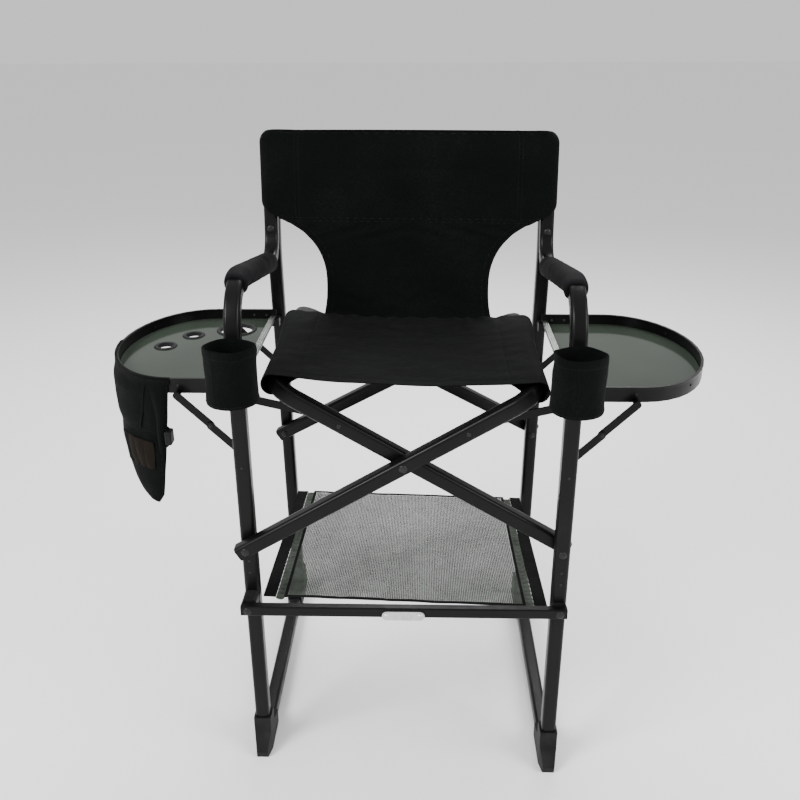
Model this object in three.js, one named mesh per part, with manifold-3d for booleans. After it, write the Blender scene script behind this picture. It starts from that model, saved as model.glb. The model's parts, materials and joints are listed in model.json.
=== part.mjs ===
// Tall folding director chair with two fold-down side tables, a footrest and a mesh tray.
// Millimetres, +X to the right seen from the front, +Y to the back, +Z up.
// The two side frames are alike. Each is built once in side coordinates, where x runs outwards from
// the plane of the legs, and is placed at +-HALF_SPACING, the second one mirrored.
import * as THREE from "three";
import { mergeVertices } from "three/addons/utils/BufferGeometryUtils.js";
import Module from "manifold-3d";

const manifold = await Module();
manifold.setup();

// ---- Driving dimensions ----
const HALF_SPACING = 260; // middle plane to the plane of each side frame
const TUBE = 25.4; // all frame tubes, rounded square
const TUBE_CORNER = 6;
const LAYER = TUBE + 1; // pitch of tubes that lie side by side on one bolt
const GAP = 0.3; // between pieces that touch
const FLOOR_TO_ORIGIN_Y = 196; // front leg to the middle of the chair's depth

const PIVOT_Z = 444; // crossed tubes on the legs
const CROSSING_Z = 600; // crossed tubes on each other
const RAIL_X = 207; // seat rails
const HINGE_Z = 698.5; // tables and struts on the legs
const FOOTREST_Z = 340;
const STRUT_REACH = 118.4; // crossing to the strut's rivet, along the tube
const STRUT_GAP = 2.5; // leg to strut, so that the strut passes behind the cup holder's strap

const LEG_BOTTOM_Z = 42;
const ARM_FRONT_Z = 889.6; // where the leg's line meets the arm's line
const ARM_SLOPE = 0.1673;
const ARM_BEND = 75;
const POST_BEND = 52;
const POST_TOP_Z = 1049;
const POST_LEAN = 0.14;
const POST_Y_AT_830 = 402;
const POST_BOLT_Z = 884;

const REAR_LEG_Y_AT_FLOOR = 491.8;
const REAR_LEG_LEAN = 0.0767;
const REAR_LEG_TOP_Z = 903;
const RUNNER_BEND = 38;
const SHOE_WALL = 2.6;
const RUNNER_Z = TUBE / 2 + SHOE_WALL + GAP;

const CROSS_REAR_Y = 387.7; // rear crossed tube at the crossing, first frame
const CROSS_REAR_GAP = 10.1; // extra room behind the second frame's rear leg
const CROSS_REAR_LEAN = 0.14;
const CROSS_BEND = 40;
const CROSS_TAIL = 15; // tube past its leg pivot

const TABLE_FRONT_Y = 35; // middle of the rim's wall
const TABLE_REAR_Y = 405;
const TABLE_STRAIGHT = 115; // hinge to where the rim starts to curve
const TABLE_REACH = 246.5; // hinge to the rim's outermost point
const TABLE_RAIL_HALF = 12;
const RIM_WALL = 3;
const RIM_TOP = 23.5; // above the hinge axis
const RIM_BOTTOM = -1.5;
const RIM_BEAD = 0.8; // how far the bead stands out from the wall
const RIM_LEDGE = 2.5;
const PANEL_THICKNESS = 3.5;
const GROMMET_WALL = 2.6;
const BRACE_REACH = 102; // hinge to each end of the folding brace

const BOLT = 3.7; // shank radius
const BOLT_HOLE = 4.2;
const BORE_DEPTH = 12; // in each end of the table's rail
const HEAD = 7;
const HEAD_HEIGHT = 2.2;
const NUT_HEIGHT = 2.6;

const SLEEVE = 18.5; // outside radius of the fabric round a seat rail
const SEAT_SAG = 12;
const BACK_TOP_Z = 1059;
const BACK_BOTTOM_Z = 910;

// ---- Derived dimensions ----
const halfTube = TUBE / 2;
const crossAngle = Math.atan2(CROSSING_Z - PIVOT_Z, HALF_SPACING);
const pivotReach = (CROSSING_Z - PIVOT_Z) / Math.sin(crossAngle);
const railReach = RAIL_X / Math.cos(crossAngle);
const railZ = CROSSING_Z + RAIL_X * Math.tan(crossAngle);
const postY = (z) => POST_Y_AT_830 + POST_LEAN * (z - 830);
const rearLegY = (z) => REAR_LEG_Y_AT_FLOOR - REAR_LEG_LEAN * z;
const tableMiddleY = (TABLE_FRONT_Y + TABLE_REAR_Y) / 2;

// ---- Materials ----
const finish = (color, roughness, metalness) =>
  new THREE.MeshStandardMaterial({ color, roughness, metalness });
const tubePaint = finish(0x0b0b0c, 0.38, 0.6);
const steel = finish(0x8e9092, 0.3, 1);
const darkSteel = finish(0x1b1b1d, 0.35, 0.9);
const aluminium = finish(0xb9bcc0, 0.35, 1);
const plastic = finish(0x101011, 0.55, 0);
const foam = finish(0x0d0d0e, 0.9, 0);
const panelPlastic = finish(0x1d211e, 0.15, 0);
const fabric = finish(0x0c0c0e, 0.95, 0);
const mesh = finish(0x6f726f, 0.9, 0);

// ---- Solids and booleans ----
function solidOf(geometry) {
  const bare = geometry.clone();
  bare.deleteAttribute("normal");
  bare.deleteAttribute("uv");
  const merged = mergeVertices(bare, 1e-4);
  return new manifold.Manifold(
    new manifold.Mesh({
      numProp: 3,
      vertProperties: merged.attributes.position.array,
      triVerts: new Uint32Array(merged.index.array),
    }),
  );
}

function geometryOf(solid) {
  const { vertProperties, triVerts } = solid.getMesh();
  const geometry = new THREE.BufferGeometry();
  geometry.setAttribute("position", new THREE.BufferAttribute(vertProperties, 3));
  geometry.setIndex(new THREE.BufferAttribute(triVerts, 1));
  geometry.computeVertexNormals();
  return geometry;
}

const cut = (geometry, ...tools) =>
  geometryOf(tools.reduce((rest, tool) => rest.subtract(solidOf(tool)), solidOf(geometry)));
const join = (geometry, ...others) =>
  geometryOf(others.reduce((all, other) => all.add(solidOf(other)), solidOf(geometry)));

function part(name, geometry, material) {
  const made = new THREE.Mesh(geometry, material);
  made.name = name;
  return made;
}

// A box given by its lowest and highest corners.
function block(low, high) {
  const size = high.map((h, i) => h - low[i]);
  return new THREE.BoxGeometry(...size).translate(...low.map((l, i) => l + size[i] / 2));
}

// A straight rod along Y, from y0 to y1.
function rodY(x, y0, y1, z, radius, sides = 10) {
  return new THREE.CylinderGeometry(radius, radius, y1 - y0, sides).translate(x, (y0 + y1) / 2, z);
}

// A turned piece along Y: [y, radius] steps from one end to the other.
function turnedY(x, z, steps, sides = 10) {
  const profile = [[steps[0][0], 0], ...steps, [steps.at(-1)[0], 0]];
  const points = profile.map(([y, radius]) => new THREE.Vector2(radius, y));
  return new THREE.LatheGeometry(points, sides).translate(x, 0, z);
}

// Steps of a low domed head whose flat face is at y, of a nut that starts at y, and of a collar.
const headSteps = (y) => [
  [y - HEAD_HEIGHT, HEAD - 3], [y - HEAD_HEIGHT / 2, HEAD - 1], [y, HEAD], [y, BOLT],
];
const nutSteps = (y) => [[y, BOLT], [y, HEAD - 1], [y + NUT_HEIGHT, HEAD - 1]];
const collarSteps = ([y0, y1]) => [[y0, BOLT], [y0, HEAD - 1], [y1, HEAD - 1], [y1, BOLT]];

// A piece turned about Z, from [radius, z] corners.
function turnedZ(profile, sides) {
  const points = profile.map(([radius, z]) => new THREE.Vector2(radius, z));
  return new THREE.LatheGeometry(points, sides).rotateX(Math.PI / 2);
}

// A bolt along Y with its head at y0 and its nut at y1, and a spacer collar where one is asked for.
function boltY(x, z, y0, y1, collar) {
  const ring = collar ? collarSteps(collar) : [];
  return turnedY(x, z, [...headSteps(y0), ...ring, ...nutSteps(y1)]);
}

// A rivet along Y with its head at y0, flush at y1.
function rivetY(x, z, y0, y1) {
  return turnedY(x, z, [...headSteps(y0), [y1, BOLT]]);
}

// ---- Outlines ----
function roundedRectangle(width, height, radius) {
  const [w, h] = [width / 2 - radius, height / 2 - radius];
  const shape = new THREE.Shape();
  shape.absarc(w, h, radius, 0, Math.PI / 2);
  shape.absarc(-w, h, radius, Math.PI / 2, Math.PI);
  shape.absarc(-w, -h, radius, Math.PI, 1.5 * Math.PI);
  shape.absarc(w, -h, radius, 1.5 * Math.PI, 2 * Math.PI);
  shape.closePath();
  return shape;
}

const tubeSection = (growth = 0) =>
  roundedRectangle(TUBE + 2 * growth, TUBE + 2 * growth, TUBE_CORNER + growth);

function circle(radius, x = 0, y = 0) {
  return new THREE.Shape().absarc(x, y, radius, 0, 2 * Math.PI);
}

// A flat bar in the XZ plane from a to b with round ends, thickness from y0 to y1.
function barY([ax, az], [bx, bz], width, y0, y1, holes = []) {
  const turn = Math.atan2(bz - az, bx - ax);
  const shape = new THREE.Shape();
  shape.absarc(ax, az, width / 2, turn + Math.PI / 2, turn + 1.5 * Math.PI);
  shape.absarc(bx, bz, width / 2, turn - Math.PI / 2, turn + Math.PI / 2);
  shape.closePath();
  holes.forEach(([x, z, radius]) => shape.holes.push(circle(radius, x, z)));
  return extrudeY(shape, y0, y1, 6);
}

// An outline in x and z, extruded along Y from y0 to y1.
function extrudeY(shape, y0, y1, curveSegments = 8) {
  const made = new THREE.ExtrudeGeometry(shape, { depth: y1 - y0, bevelEnabled: false, curveSegments });
  return made.rotateX(Math.PI / 2).translate(0, y1, 0);
}

// An outline in x and y, extruded up from z0 to z1.
function extrudeZ(shape, z0, z1, curveSegments = 8) {
  const made = new THREE.ExtrudeGeometry(shape, { depth: z1 - z0, bevelEnabled: false, curveSegments });
  return made.translate(0, 0, z0);
}

// An outline in y and z, extruded along X from x0 to x1.
function extrudeX(shape, x0, x1, curveSegments = 8) {
  const made = new THREE.ExtrudeGeometry(shape, { depth: x1 - x0, bevelEnabled: false, curveSegments });
  const turned = new THREE.Matrix4().set(0, 0, 1, x0, 1, 0, 0, 0, 0, 1, 0, 0, 0, 0, 0, 1);
  return made.applyMatrix4(turned);
}

// ---- Routes for swept tubes ----
// A route whose stations are given, so that sections stand only where the tube turns.
class Route extends THREE.Curve {
  constructor(stations) {
    super();
    this.stations = stations;
  }
  station(u) {
    return this.stations[Math.round(u * (this.stations.length - 1))];
  }
  getPointAt(u, target = new THREE.Vector3()) {
    return target.copy(this.station(u).at);
  }
  getTangentAt(u, target = new THREE.Vector3()) {
    return target.copy(this.station(u).along);
  }
  getSpacedPoints() {
    return this.stations.map(({ at }) => at.clone());
  }
}

// Straight runs between points, with a round bend of the given radius at each inner point.
function bentRoute(points, radii, stepDegrees = 17) {
  const corners = points.map((p) => new THREE.Vector3(...p));
  const stations = [];
  corners.forEach((corner, i) => {
    const before = i > 0 ? corner.clone().sub(corners[i - 1]).normalize() : null;
    const after = i < corners.length - 1 ? corners[i + 1].clone().sub(corner).normalize() : null;
    if (!before || !after) {
      stations.push({ at: corner, along: before || after });
      return;
    }
    const turn = before.angleTo(after);
    const radius = radii[i - 1];
    const inward = after.clone().addScaledVector(before, -after.dot(before)).normalize();
    const start = corner.clone().addScaledVector(before, -radius * Math.tan(turn / 2));
    const steps = Math.max(2, Math.ceil(turn / THREE.MathUtils.degToRad(stepDegrees)));
    for (let k = 0; k <= steps; k++) {
      const t = (turn * k) / steps;
      const at = start.clone();
      at.addScaledVector(before, radius * Math.sin(t));
      at.addScaledVector(inward, radius * (1 - Math.cos(t)));
      const along = before.clone().multiplyScalar(Math.cos(t)).addScaledVector(inward, Math.sin(t));
      stations.push({ at, along });
    }
  });
  return new Route(stations);
}

function sweep(section, route, curveSegments = 2) {
  const steps = route.stations.length - 1;
  return new THREE.ExtrudeGeometry(section, { extrudePath: route, steps, curveSegments });
}

// ---- Side frame, in side coordinates ----
// Where the arm's line meets the back post's line.
const armRearY = postY(ARM_FRONT_Z) / (1 + POST_LEAN * ARM_SLOPE);
const armZ = (y) => ARM_FRONT_Z - ARM_SLOPE * y;

const armRoute = bentRoute(
  [
    [0, 0, LEG_BOTTOM_Z],
    [0, 0, ARM_FRONT_Z],
    [0, armRearY, armZ(armRearY)],
    [0, postY(POST_TOP_Z), POST_TOP_Z],
  ],
  [ARM_BEND, POST_BEND],
);

function armTube(name) {
  const atTube = (z, y) => rodY(0, y - TUBE, y + TUBE, z, BOLT_HOLE);
  const holes = [PIVOT_Z, HINGE_Z, FOOTREST_Z].map((z) => atTube(z, 0));
  const postHole = atTube(POST_BOLT_Z, postY(POST_BOLT_Z));
  return part(name, cut(sweep(tubeSection(), armRoute), ...holes, postHole), tubePaint);
}

// The rear leg follows the back post above, then leans back to the floor and bends into the runner.
const legTopY = (z) => postY(z) + LAYER;
const legBreakZ = (REAR_LEG_Y_AT_FLOOR - legTopY(0)) / (REAR_LEG_LEAN + POST_LEAN);
const rearLegRoute = bentRoute(
  [
    [0, legTopY(REAR_LEG_TOP_Z), REAR_LEG_TOP_Z],
    [0, rearLegY(legBreakZ), legBreakZ],
    [0, rearLegY(RUNNER_Z), RUNNER_Z],
    [0, -14, RUNNER_Z],
  ],
  [160, RUNNER_BEND],
);

function rearLeg(name) {
  const atLeg = (z, y) => rodY(0, y - TUBE, y + TUBE, z, BOLT_HOLE);
  const holes = [PIVOT_Z, HINGE_Z].map((z) => atLeg(z, rearLegY(z)));
  const postHole = atLeg(POST_BOLT_Z, legTopY(POST_BOLT_Z));
  return part(name, cut(sweep(tubeSection(), rearLegRoute), ...holes, postHole), tubePaint);
}

// Plastic shoe that joins the front leg to the runner and ends in a tapered toe.
function frontFoot(name) {
  const half = TUBE / 2 + SHOE_WALL + GAP;
  const side = new THREE.Shape();
  side.moveTo(-36, 0);
  side.lineTo(-38, 12);
  side.quadraticCurveTo(-30, 26, -half - 1.5, 44);
  side.lineTo(-half, 72);
  side.lineTo(half, 72);
  side.lineTo(half + 1, 46);
  side.quadraticCurveTo(half + 6, 36, 48, 2 * half);
  side.lineTo(56, 2 * half - 2);
  side.lineTo(56, 0);
  side.closePath();
  const plan = new THREE.Shape();
  plan.moveTo(-9.5, -40);
  plan.lineTo(9.5, -40);
  plan.lineTo(half, -14);
  plan.lineTo(half, 60);
  plan.lineTo(-half, 60);
  plan.lineTo(-half, -14);
  plan.closePath();
  const solid = solidOf(extrudeX(side, -half, half)).intersect(solidOf(extrudeZ(plan, -1, 80)));
  const leg = bentRoute([[0, 0, LEG_BOTTOM_Z - GAP], [0, 0, 90]], []);
  const runner = bentRoute([[0, -14 - GAP, RUNNER_Z], [0, 70, RUNNER_Z]], []);
  const sockets = [leg, runner].map((route) => sweep(tubeSection(GAP), route));
  return part(name, cut(geometryOf(solid), ...sockets), plastic);
}

// Plastic shoe round the bend from the rear leg to the runner.
function rearFoot(name) {
  const half = TUBE / 2 + SHOE_WALL + GAP;
  const bottomY = rearLegY(0);
  const side = new THREE.Shape();
  side.moveTo(bottomY - 78, 0);
  side.lineTo(bottomY + 22, 0);
  side.quadraticCurveTo(bottomY + 27, 1, bottomY + 26, 10);
  side.lineTo(rearLegY(50) + half + 3, 52);
  side.lineTo(rearLegY(64) + half, 64);
  side.lineTo(rearLegY(64) - half, 64);
  side.quadraticCurveTo(rearLegY(40) - half - 4, 34, bottomY - 50, 2 * half);
  side.lineTo(bottomY - 78, 2 * half);
  side.closePath();
  const tube = sweep(tubeSection(GAP), rearLegRoute);
  return part(name, cut(extrudeX(side, -half, half), tube), plastic);
}

function armGrip(name) {
  const [y0, y1] = [89, 345];
  const grown = (from, to) => bentRoute([[0, from, armZ(from)], [0, to, armZ(to)]], []);
  const foamTube = sweep(circle(19), grown(y0, y1), 9);
  return part(name, cut(foamTube, sweep(tubeSection(GAP), grown(y0 - 5, y1 + 5))), foam);
}

// A cup on a strap round the leg: the strap reaches into the cup's wall and is cut off inside it.
function cupHolder(name) {
  const [x, y] = [-6, -58];
  const [bottom, top] = [722, 815];
  const wall = [[0, bottom], [38.5, bottom], [41, top], [38, top], [36, bottom + 3], [0, bottom + 3]];
  const room = [[0, bottom - 20], [36.9, bottom - 20], [36.9, top + 20], [0, top + 20]];
  const strapHalf = halfTube + 2;
  const strap = block([-strapHalf, -27, 760], [strapHalf, strapHalf, 792]);
  const legRoom = sweep(tubeSection(GAP), bentRoute([[0, 0, 700], [0, 0, 801]], []));
  const cup = turnedZ(wall, 20).translate(x, y, 0);
  const cupRoom = turnedZ(room, 20).translate(x, y, 0);
  return part(name, join(cup, cut(strap, legRoom, cupRoom)), fabric);
}

// ---- Table, in side coordinates ----
// The rim's middle line: out from the rail, round half an ellipse and back to the rail.
function rimRoute() {
  const railFace = (y, towards) => ({
    at: new THREE.Vector3(TABLE_RAIL_HALF + GAP, y, 0),
    along: new THREE.Vector3(towards, 0, 0),
  });
  const stations = [railFace(TABLE_FRONT_Y, 1)];
  const STEPS = 20;
  const [a, b] = [TABLE_REACH - TABLE_STRAIGHT, (TABLE_REAR_Y - TABLE_FRONT_Y) / 2];
  for (let k = 0; k <= STEPS; k++) {
    const t = Math.PI * (k / STEPS - 0.5);
    const at = new THREE.Vector3(TABLE_STRAIGHT + a * Math.cos(t), tableMiddleY + b * Math.sin(t), 0);
    const along = new THREE.Vector3(-a * Math.sin(t), b * Math.cos(t), 0).normalize();
    stations.push({ at, along });
  }
  stations.push(railFace(TABLE_REAR_Y, -1));
  return new Route(stations);
}

// A wall with a bead along its top and a ledge inside its foot. The section's x runs down, its y inwards.
function rim(name) {
  const wall = RIM_WALL / 2;
  const bead = wall + RIM_BEAD;
  const [ledgeTop, ledgeEnd] = [-RIM_BOTTOM - RIM_LEDGE, wall + 8];
  const outline = [
    [-RIM_TOP, -bead], [-RIM_TOP, bead], [-RIM_TOP + 3, bead], [-RIM_TOP + 4.5, wall],
    [ledgeTop, wall], [ledgeTop, ledgeEnd], [-RIM_BOTTOM, ledgeEnd], [-RIM_BOTTOM, -wall],
    [-RIM_TOP + 4.5, -wall], [-RIM_TOP + 3, -bead],
  ];
  const section = new THREE.Shape(outline.map(([x, y]) => new THREE.Vector2(x, y)));
  return part(name, sweep(section, rimRoute()).translate(0, 0, HINGE_Z), tubePaint);
}

const PANEL_BOTTOM_Z = HINGE_Z + RIM_BOTTOM + RIM_LEDGE + GAP;
const PANEL_TOP_Z = PANEL_BOTTOM_Z + PANEL_THICKNESS;

// Holes: [x, y, radius of the opening] in side coordinates.
function panel(name, grommets) {
  const inset = RIM_WALL / 2 + 1.2;
  const [a, b] = [TABLE_REACH - TABLE_STRAIGHT - inset, (TABLE_REAR_Y - TABLE_FRONT_Y) / 2 - inset];
  const shape = new THREE.Shape();
  shape.moveTo(TABLE_RAIL_HALF + GAP, tableMiddleY - b);
  shape.lineTo(TABLE_STRAIGHT, tableMiddleY - b);
  shape.absellipse(TABLE_STRAIGHT, tableMiddleY, a, b, -Math.PI / 2, Math.PI / 2);
  shape.lineTo(TABLE_RAIL_HALF + GAP, tableMiddleY + b);
  shape.closePath();
  grommets.forEach(([x, y, radius]) => shape.holes.push(circle(radius + GROMMET_WALL + GAP, x, y)));
  return part(name, extrudeZ(shape, PANEL_BOTTOM_Z, PANEL_TOP_Z, 12), panelPlastic);
}

function grommet(name, [x, y, radius]) {
  const flange = radius + GROMMET_WALL + 4.5;
  const top = PANEL_TOP_Z + GAP;
  const profile = [
    [radius, PANEL_BOTTOM_Z - 2], [radius + GROMMET_WALL, PANEL_BOTTOM_Z - 2], [radius + GROMMET_WALL, top],
    [flange, top], [flange - 1.5, top + 1.8], [radius + 1, top + 1.8], [radius, top + 0.8],
    [radius, PANEL_BOTTOM_Z - 2],
  ];
  return part(name, turnedZ(profile, 20).translate(x, y, 0), plastic);
}

// The inner edge of the table: an extrusion with two grooves, bored at each end for the hinge bolts.
function tableRail(name) {
  const [half, up, down] = [TABLE_RAIL_HALF, 11, 9];
  const outline = [
    [-half, -down], [half, -down], [half, up], [8, up], [7, up - 4], [3, up - 4], [2, up],
    [-2, up], [-3, up - 4], [-7, up - 4], [-8, up], [-half, up],
  ];
  const section = new THREE.Shape(outline.map(([x, z]) => new THREE.Vector2(x, z + HINGE_Z)));
  const [y0, y1] = [TABLE_FRONT_Y - RIM_WALL / 2, TABLE_REAR_Y + RIM_WALL / 2];
  const bores = [y0, y1].map((y) => rodY(0, y - BORE_DEPTH, y + BORE_DEPTH, HINGE_Z, BOLT_HOLE));
  return part(name, cut(extrudeY(section, y0, y1), ...bores), aluminium);
}

const braceKnuckle = [BRACE_REACH / 2, HINGE_Z - BRACE_REACH / 2];
const braceLeg = [0, HINGE_Z - BRACE_REACH];
const braceRim = [BRACE_REACH, HINGE_Z];
const BRACE_WIDTH = 12;
const LINK = 3; // thickness of a flat link

// Lower link of a folding brace: from the leg, y towards the table is "into" (+1 in front, -1 behind).
function braceLower(name, legFace, into) {
  const [from, to] = [legFace + 1.4 * into, legFace + (1.4 + LINK) * into];
  const bar = barY(braceLeg, braceKnuckle, BRACE_WIDTH, Math.min(from, to), Math.max(from, to));
  return part(name, bar, tubePaint);
}

// Upper link: beside the lower one, with a round spacer to the rim.
function braceUpper(name, legFace, into) {
  const near = legFace + (1.8 + LINK) * into;
  const far = near + LINK * into;
  const outside = RIM_WALL / 2 + RIM_BEAD + GAP;
  const rimFace = into > 0 ? TABLE_FRONT_Y - outside : TABLE_REAR_Y + outside;
  const bar = barY(braceKnuckle, braceRim, BRACE_WIDTH, Math.min(near, far), Math.max(near, far));
  const overlap = 1; // spacer and knuckle rivet start inside the link, to fuse with it
  const spacer = rodY(...spanY(braceRim, far - overlap * into, rimFace), 5);
  const rivet = rodY(...spanY(braceKnuckle, far - overlap * into, far + 1.6 * into), 4.5);
  return part(name, join(bar, spacer, rivet), tubePaint);
}

function spanY([x, z], a, b) {
  return [x, Math.min(a, b), Math.max(a, b), z];
}

// ---- Struts between the legs and the crossed tubes ----
const strutEnd = [
  (pivotReach - STRUT_REACH) * Math.cos(crossAngle),
  PIVOT_Z + (pivotReach + STRUT_REACH) * Math.sin(crossAngle),
];

function strut(name) {
  const [x, z] = [-strutEnd[0], strutEnd[1]];
  const y0 = halfTube + STRUT_GAP;
  const bar = barY([0, HINGE_Z], [x, z], 13, y0, y0 + LINK, [[0, HINGE_Z, BOLT_HOLE]]);
  const rivet = rodY(x, y0 + LINK - 1, y0 + LINK + 2, z, 5);
  return part(name, join(bar, rivet), tubePaint);
}

// ---- Crossed tubes: one bent tube makes a seat rail, a front arm and a rear arm ----
// Y of the front arm, Y of the rear arm at the crossing, and turn about the crossing.
const crossRearStep = CROSS_REAR_GAP + LAYER;
const CROSS_A = [-LAYER, CROSS_REAR_Y, -crossAngle];
const CROSS_B = [0, CROSS_REAR_Y + crossRearStep, crossAngle - Math.PI];

// Built flat, with x along the arms from the crossing, then turned to its angle.
function crossTube(name, frontY, rearY) {
  const tail = -pivotReach - CROSS_TAIL;
  const rearAt = (s) => rearY - CROSS_REAR_LEAN * s;
  const route = bentRoute(
    [[tail, frontY, 0], [railReach, frontY, 0], [railReach, rearAt(railReach), 0], [tail, rearAt(tail), 0]],
    [CROSS_BEND, CROSS_BEND],
  );
  const holes = [0, -pivotReach].flatMap((s) =>
    [frontY, rearAt(s)].map((y) => rodY(s, y - TUBE, y + TUBE, 0, BOLT_HOLE)),
  );
  return part(name, cut(sweep(tubeSection(), route), ...holes), tubePaint);
}

const railSleeveRoom = (frontY, rearY) => {
  const rearAt = (s) => rearY - CROSS_REAR_LEAN * s;
  return sweep(
    tubeSection(GAP + 0.1),
    bentRoute(
      [[0, frontY, 0], [railReach, frontY, 0], [railReach, rearAt(railReach), 0], [0, rearAt(0), 0]],
      [CROSS_BEND, CROSS_BEND],
    ),
  );
};

// ---- Footrest ----
const FOOTREST_Y = -50;
const FOOTREST_DEPTH = 15;
const FOOTREST_HEIGHT = 18;
const FOOTREST_SPLIT = 0.4; // middle plane to each bar's inner end
const LINK_PIN_X = 28;
const LINK_PIN_Z = FOOTREST_Z - 4;

function footrestBar(name, side) {
  const outer = HALF_SPACING + 12;
  const section = roundedRectangle(FOOTREST_DEPTH, FOOTREST_HEIGHT, 2.5);
  const bar = extrudeX(section, FOOTREST_SPLIT, outer, 3).translate(0, FOOTREST_Y, FOOTREST_Z);
  const holes = [
    rodY(HALF_SPACING, FOOTREST_Y - 20, FOOTREST_Y + 20, FOOTREST_Z, BOLT_HOLE),
    rodY(LINK_PIN_X, FOOTREST_Y - 20, FOOTREST_Y + 20, LINK_PIN_Z, 2.6, 12),
  ];
  const made = part(name, cut(bar, ...holes), tubePaint);
  made.scale.x = side;
  return made;
}

function footrestLink(name) {
  const y1 = FOOTREST_Y - FOOTREST_DEPTH / 2 - GAP;
  const holes = [-LINK_PIN_X, LINK_PIN_X].map((x) => [x, LINK_PIN_Z, 2.6]);
  return part(name, barY([-27, LINK_PIN_Z], [27, LINK_PIN_Z], 17, y1 - 2, y1, holes), steel);
}

function linkPin(name, side) {
  const face = FOOTREST_Y - FOOTREST_DEPTH / 2 - GAP - 2 - GAP;
  const steps = [[face - 1.6, 3], [face, 4.5], [face, 2.2], [FOOTREST_Y + 4, 2.2]];
  return part(name, turnedY(side * LINK_PIN_X, LINK_PIN_Z, steps, 12), steel);
}

// ---- Soft goods ----
// The two sides stand LAYER apart along Y, so fabric that spans them is skewed by that much.
function skewed(geometry, halfSpan) {
  const slope = -LAYER / (2 * halfSpan);
  return geometry.applyMatrix4(
    new THREE.Matrix4().set(1, 0, 0, 0, slope, 1, 0, -LAYER / 2, 0, 0, 1, 0, 0, 0, 0, 1),
  );
}

function seat(name) {
  const [front, rear] = [6, 340];
  const top = railZ + SLEEVE;
  const sling = new THREE.Shape();
  sling.moveTo(-RAIL_X, top);
  sling.quadraticCurveTo(0, top - 2 * SEAT_SAG, RAIL_X, top);
  sling.lineTo(RAIL_X, top - 4);
  sling.quadraticCurveTo(0, top - 4 - 2 * SEAT_SAG, -RAIL_X, top - 4);
  sling.closePath();
  const sleeves = [-RAIL_X, RAIL_X].map((x) => {
    const ring = extrudeY(circle(SLEEVE, x, railZ), front, rear, 10);
    return skewed(ring, RAIL_X);
  });
  const rooms = [-1, 1].map((side) => {
    const [frontY, rearY, turn] = side < 0 ? CROSS_B : CROSS_A;
    return railSleeveRoom(frontY, rearY).rotateY(turn).translate(0, 0, CROSSING_Z);
  });
  const whole = join(skewed(extrudeY(sling, front, rear, 8), RAIL_X), ...sleeves);
  return part(name, cut(whole, ...rooms), fabric);
}

// Cover over both back posts, and the waist of fabric that runs down from it to the seat.
function backrest(name) {
  const wall = 3;
  const thickness = TUBE + 2 * wall;
  const leanTo = (geometry, lean, y, z) => {
    const lift = new THREE.Matrix4().set(1, 0, 0, 0, 0, 1, lean, y - lean * z, 0, 0, 1, 0, 0, 0, 0, 1);
    return geometry.applyMatrix4(lift);
  };
  const sleeve = (side) => {
    const upright = extrudeZ(roundedRectangle(thickness, thickness, 7), BACK_BOTTOM_Z, BACK_TOP_Z, 3);
    const leaning = leanTo(upright, POST_LEAN, postY(BACK_BOTTOM_Z), BACK_BOTTOM_Z);
    return leaning.translate(side * HALF_SPACING, 0, 0);
  };
  const cover = new THREE.Shape();
  cover.moveTo(-HALF_SPACING, BACK_BOTTOM_Z);
  cover.lineTo(HALF_SPACING, BACK_BOTTOM_Z);
  cover.lineTo(HALF_SPACING, BACK_TOP_Z);
  cover.lineTo(-HALF_SPACING, BACK_TOP_Z);
  cover.closePath();
  const waist = new THREE.Shape();
  const [waistTop, waistBottom] = [BACK_BOTTOM_Z + 4, railZ + 8];
  waist.moveTo(-235, waistTop);
  waist.bezierCurveTo(-190, waistTop - 20, -150, 840, -150, 790);
  waist.quadraticCurveTo(-150, 765, -158, waistBottom);
  waist.lineTo(158, waistBottom);
  waist.quadraticCurveTo(150, 765, 150, 790);
  waist.bezierCurveTo(150, 840, 190, waistTop - 20, 235, waistTop);
  waist.closePath();
  const faceY = postY(BACK_BOTTOM_Z) - TUBE / 2 - wall;
  const lowerLean = (faceY - 345) / (waistTop - waistBottom);
  const upper = leanTo(extrudeY(cover, 0, 4), POST_LEAN, faceY, BACK_BOTTOM_Z);
  const lower = leanTo(extrudeY(waist, 0, 4, 6), lowerLean, faceY, waistTop);
  const whole = skewed(join(upper, lower, sleeve(-1), sleeve(1)), HALF_SPACING);
  const postEnds = [BACK_BOTTOM_Z - 50, POST_TOP_Z + 1].map((z) => [0, postY(z), z]);
  const posts = [-1, 1].map((side) => {
    const room = sweep(tubeSection(GAP), bentRoute(postEnds, []));
    return room.translate(side * HALF_SPACING, side < 0 ? 0 : -LAYER, 0);
  });
  return part(name, cut(whole, ...posts), fabric);
}

function meshTray(name) {
  const [front, rear, half] = [1, 456, 244];
  const [frontZ, rearZ] = [330, 286];
  const profile = new THREE.Shape();
  profile.moveTo(front, frontZ - 3);
  profile.lineTo(rear, rearZ - 3);
  profile.lineTo(rear, rearZ);
  profile.lineTo(front, frontZ);
  profile.closePath();
  return part(name, skewed(extrudeX(profile, -half, half), HALF_SPACING), mesh);
}

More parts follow.
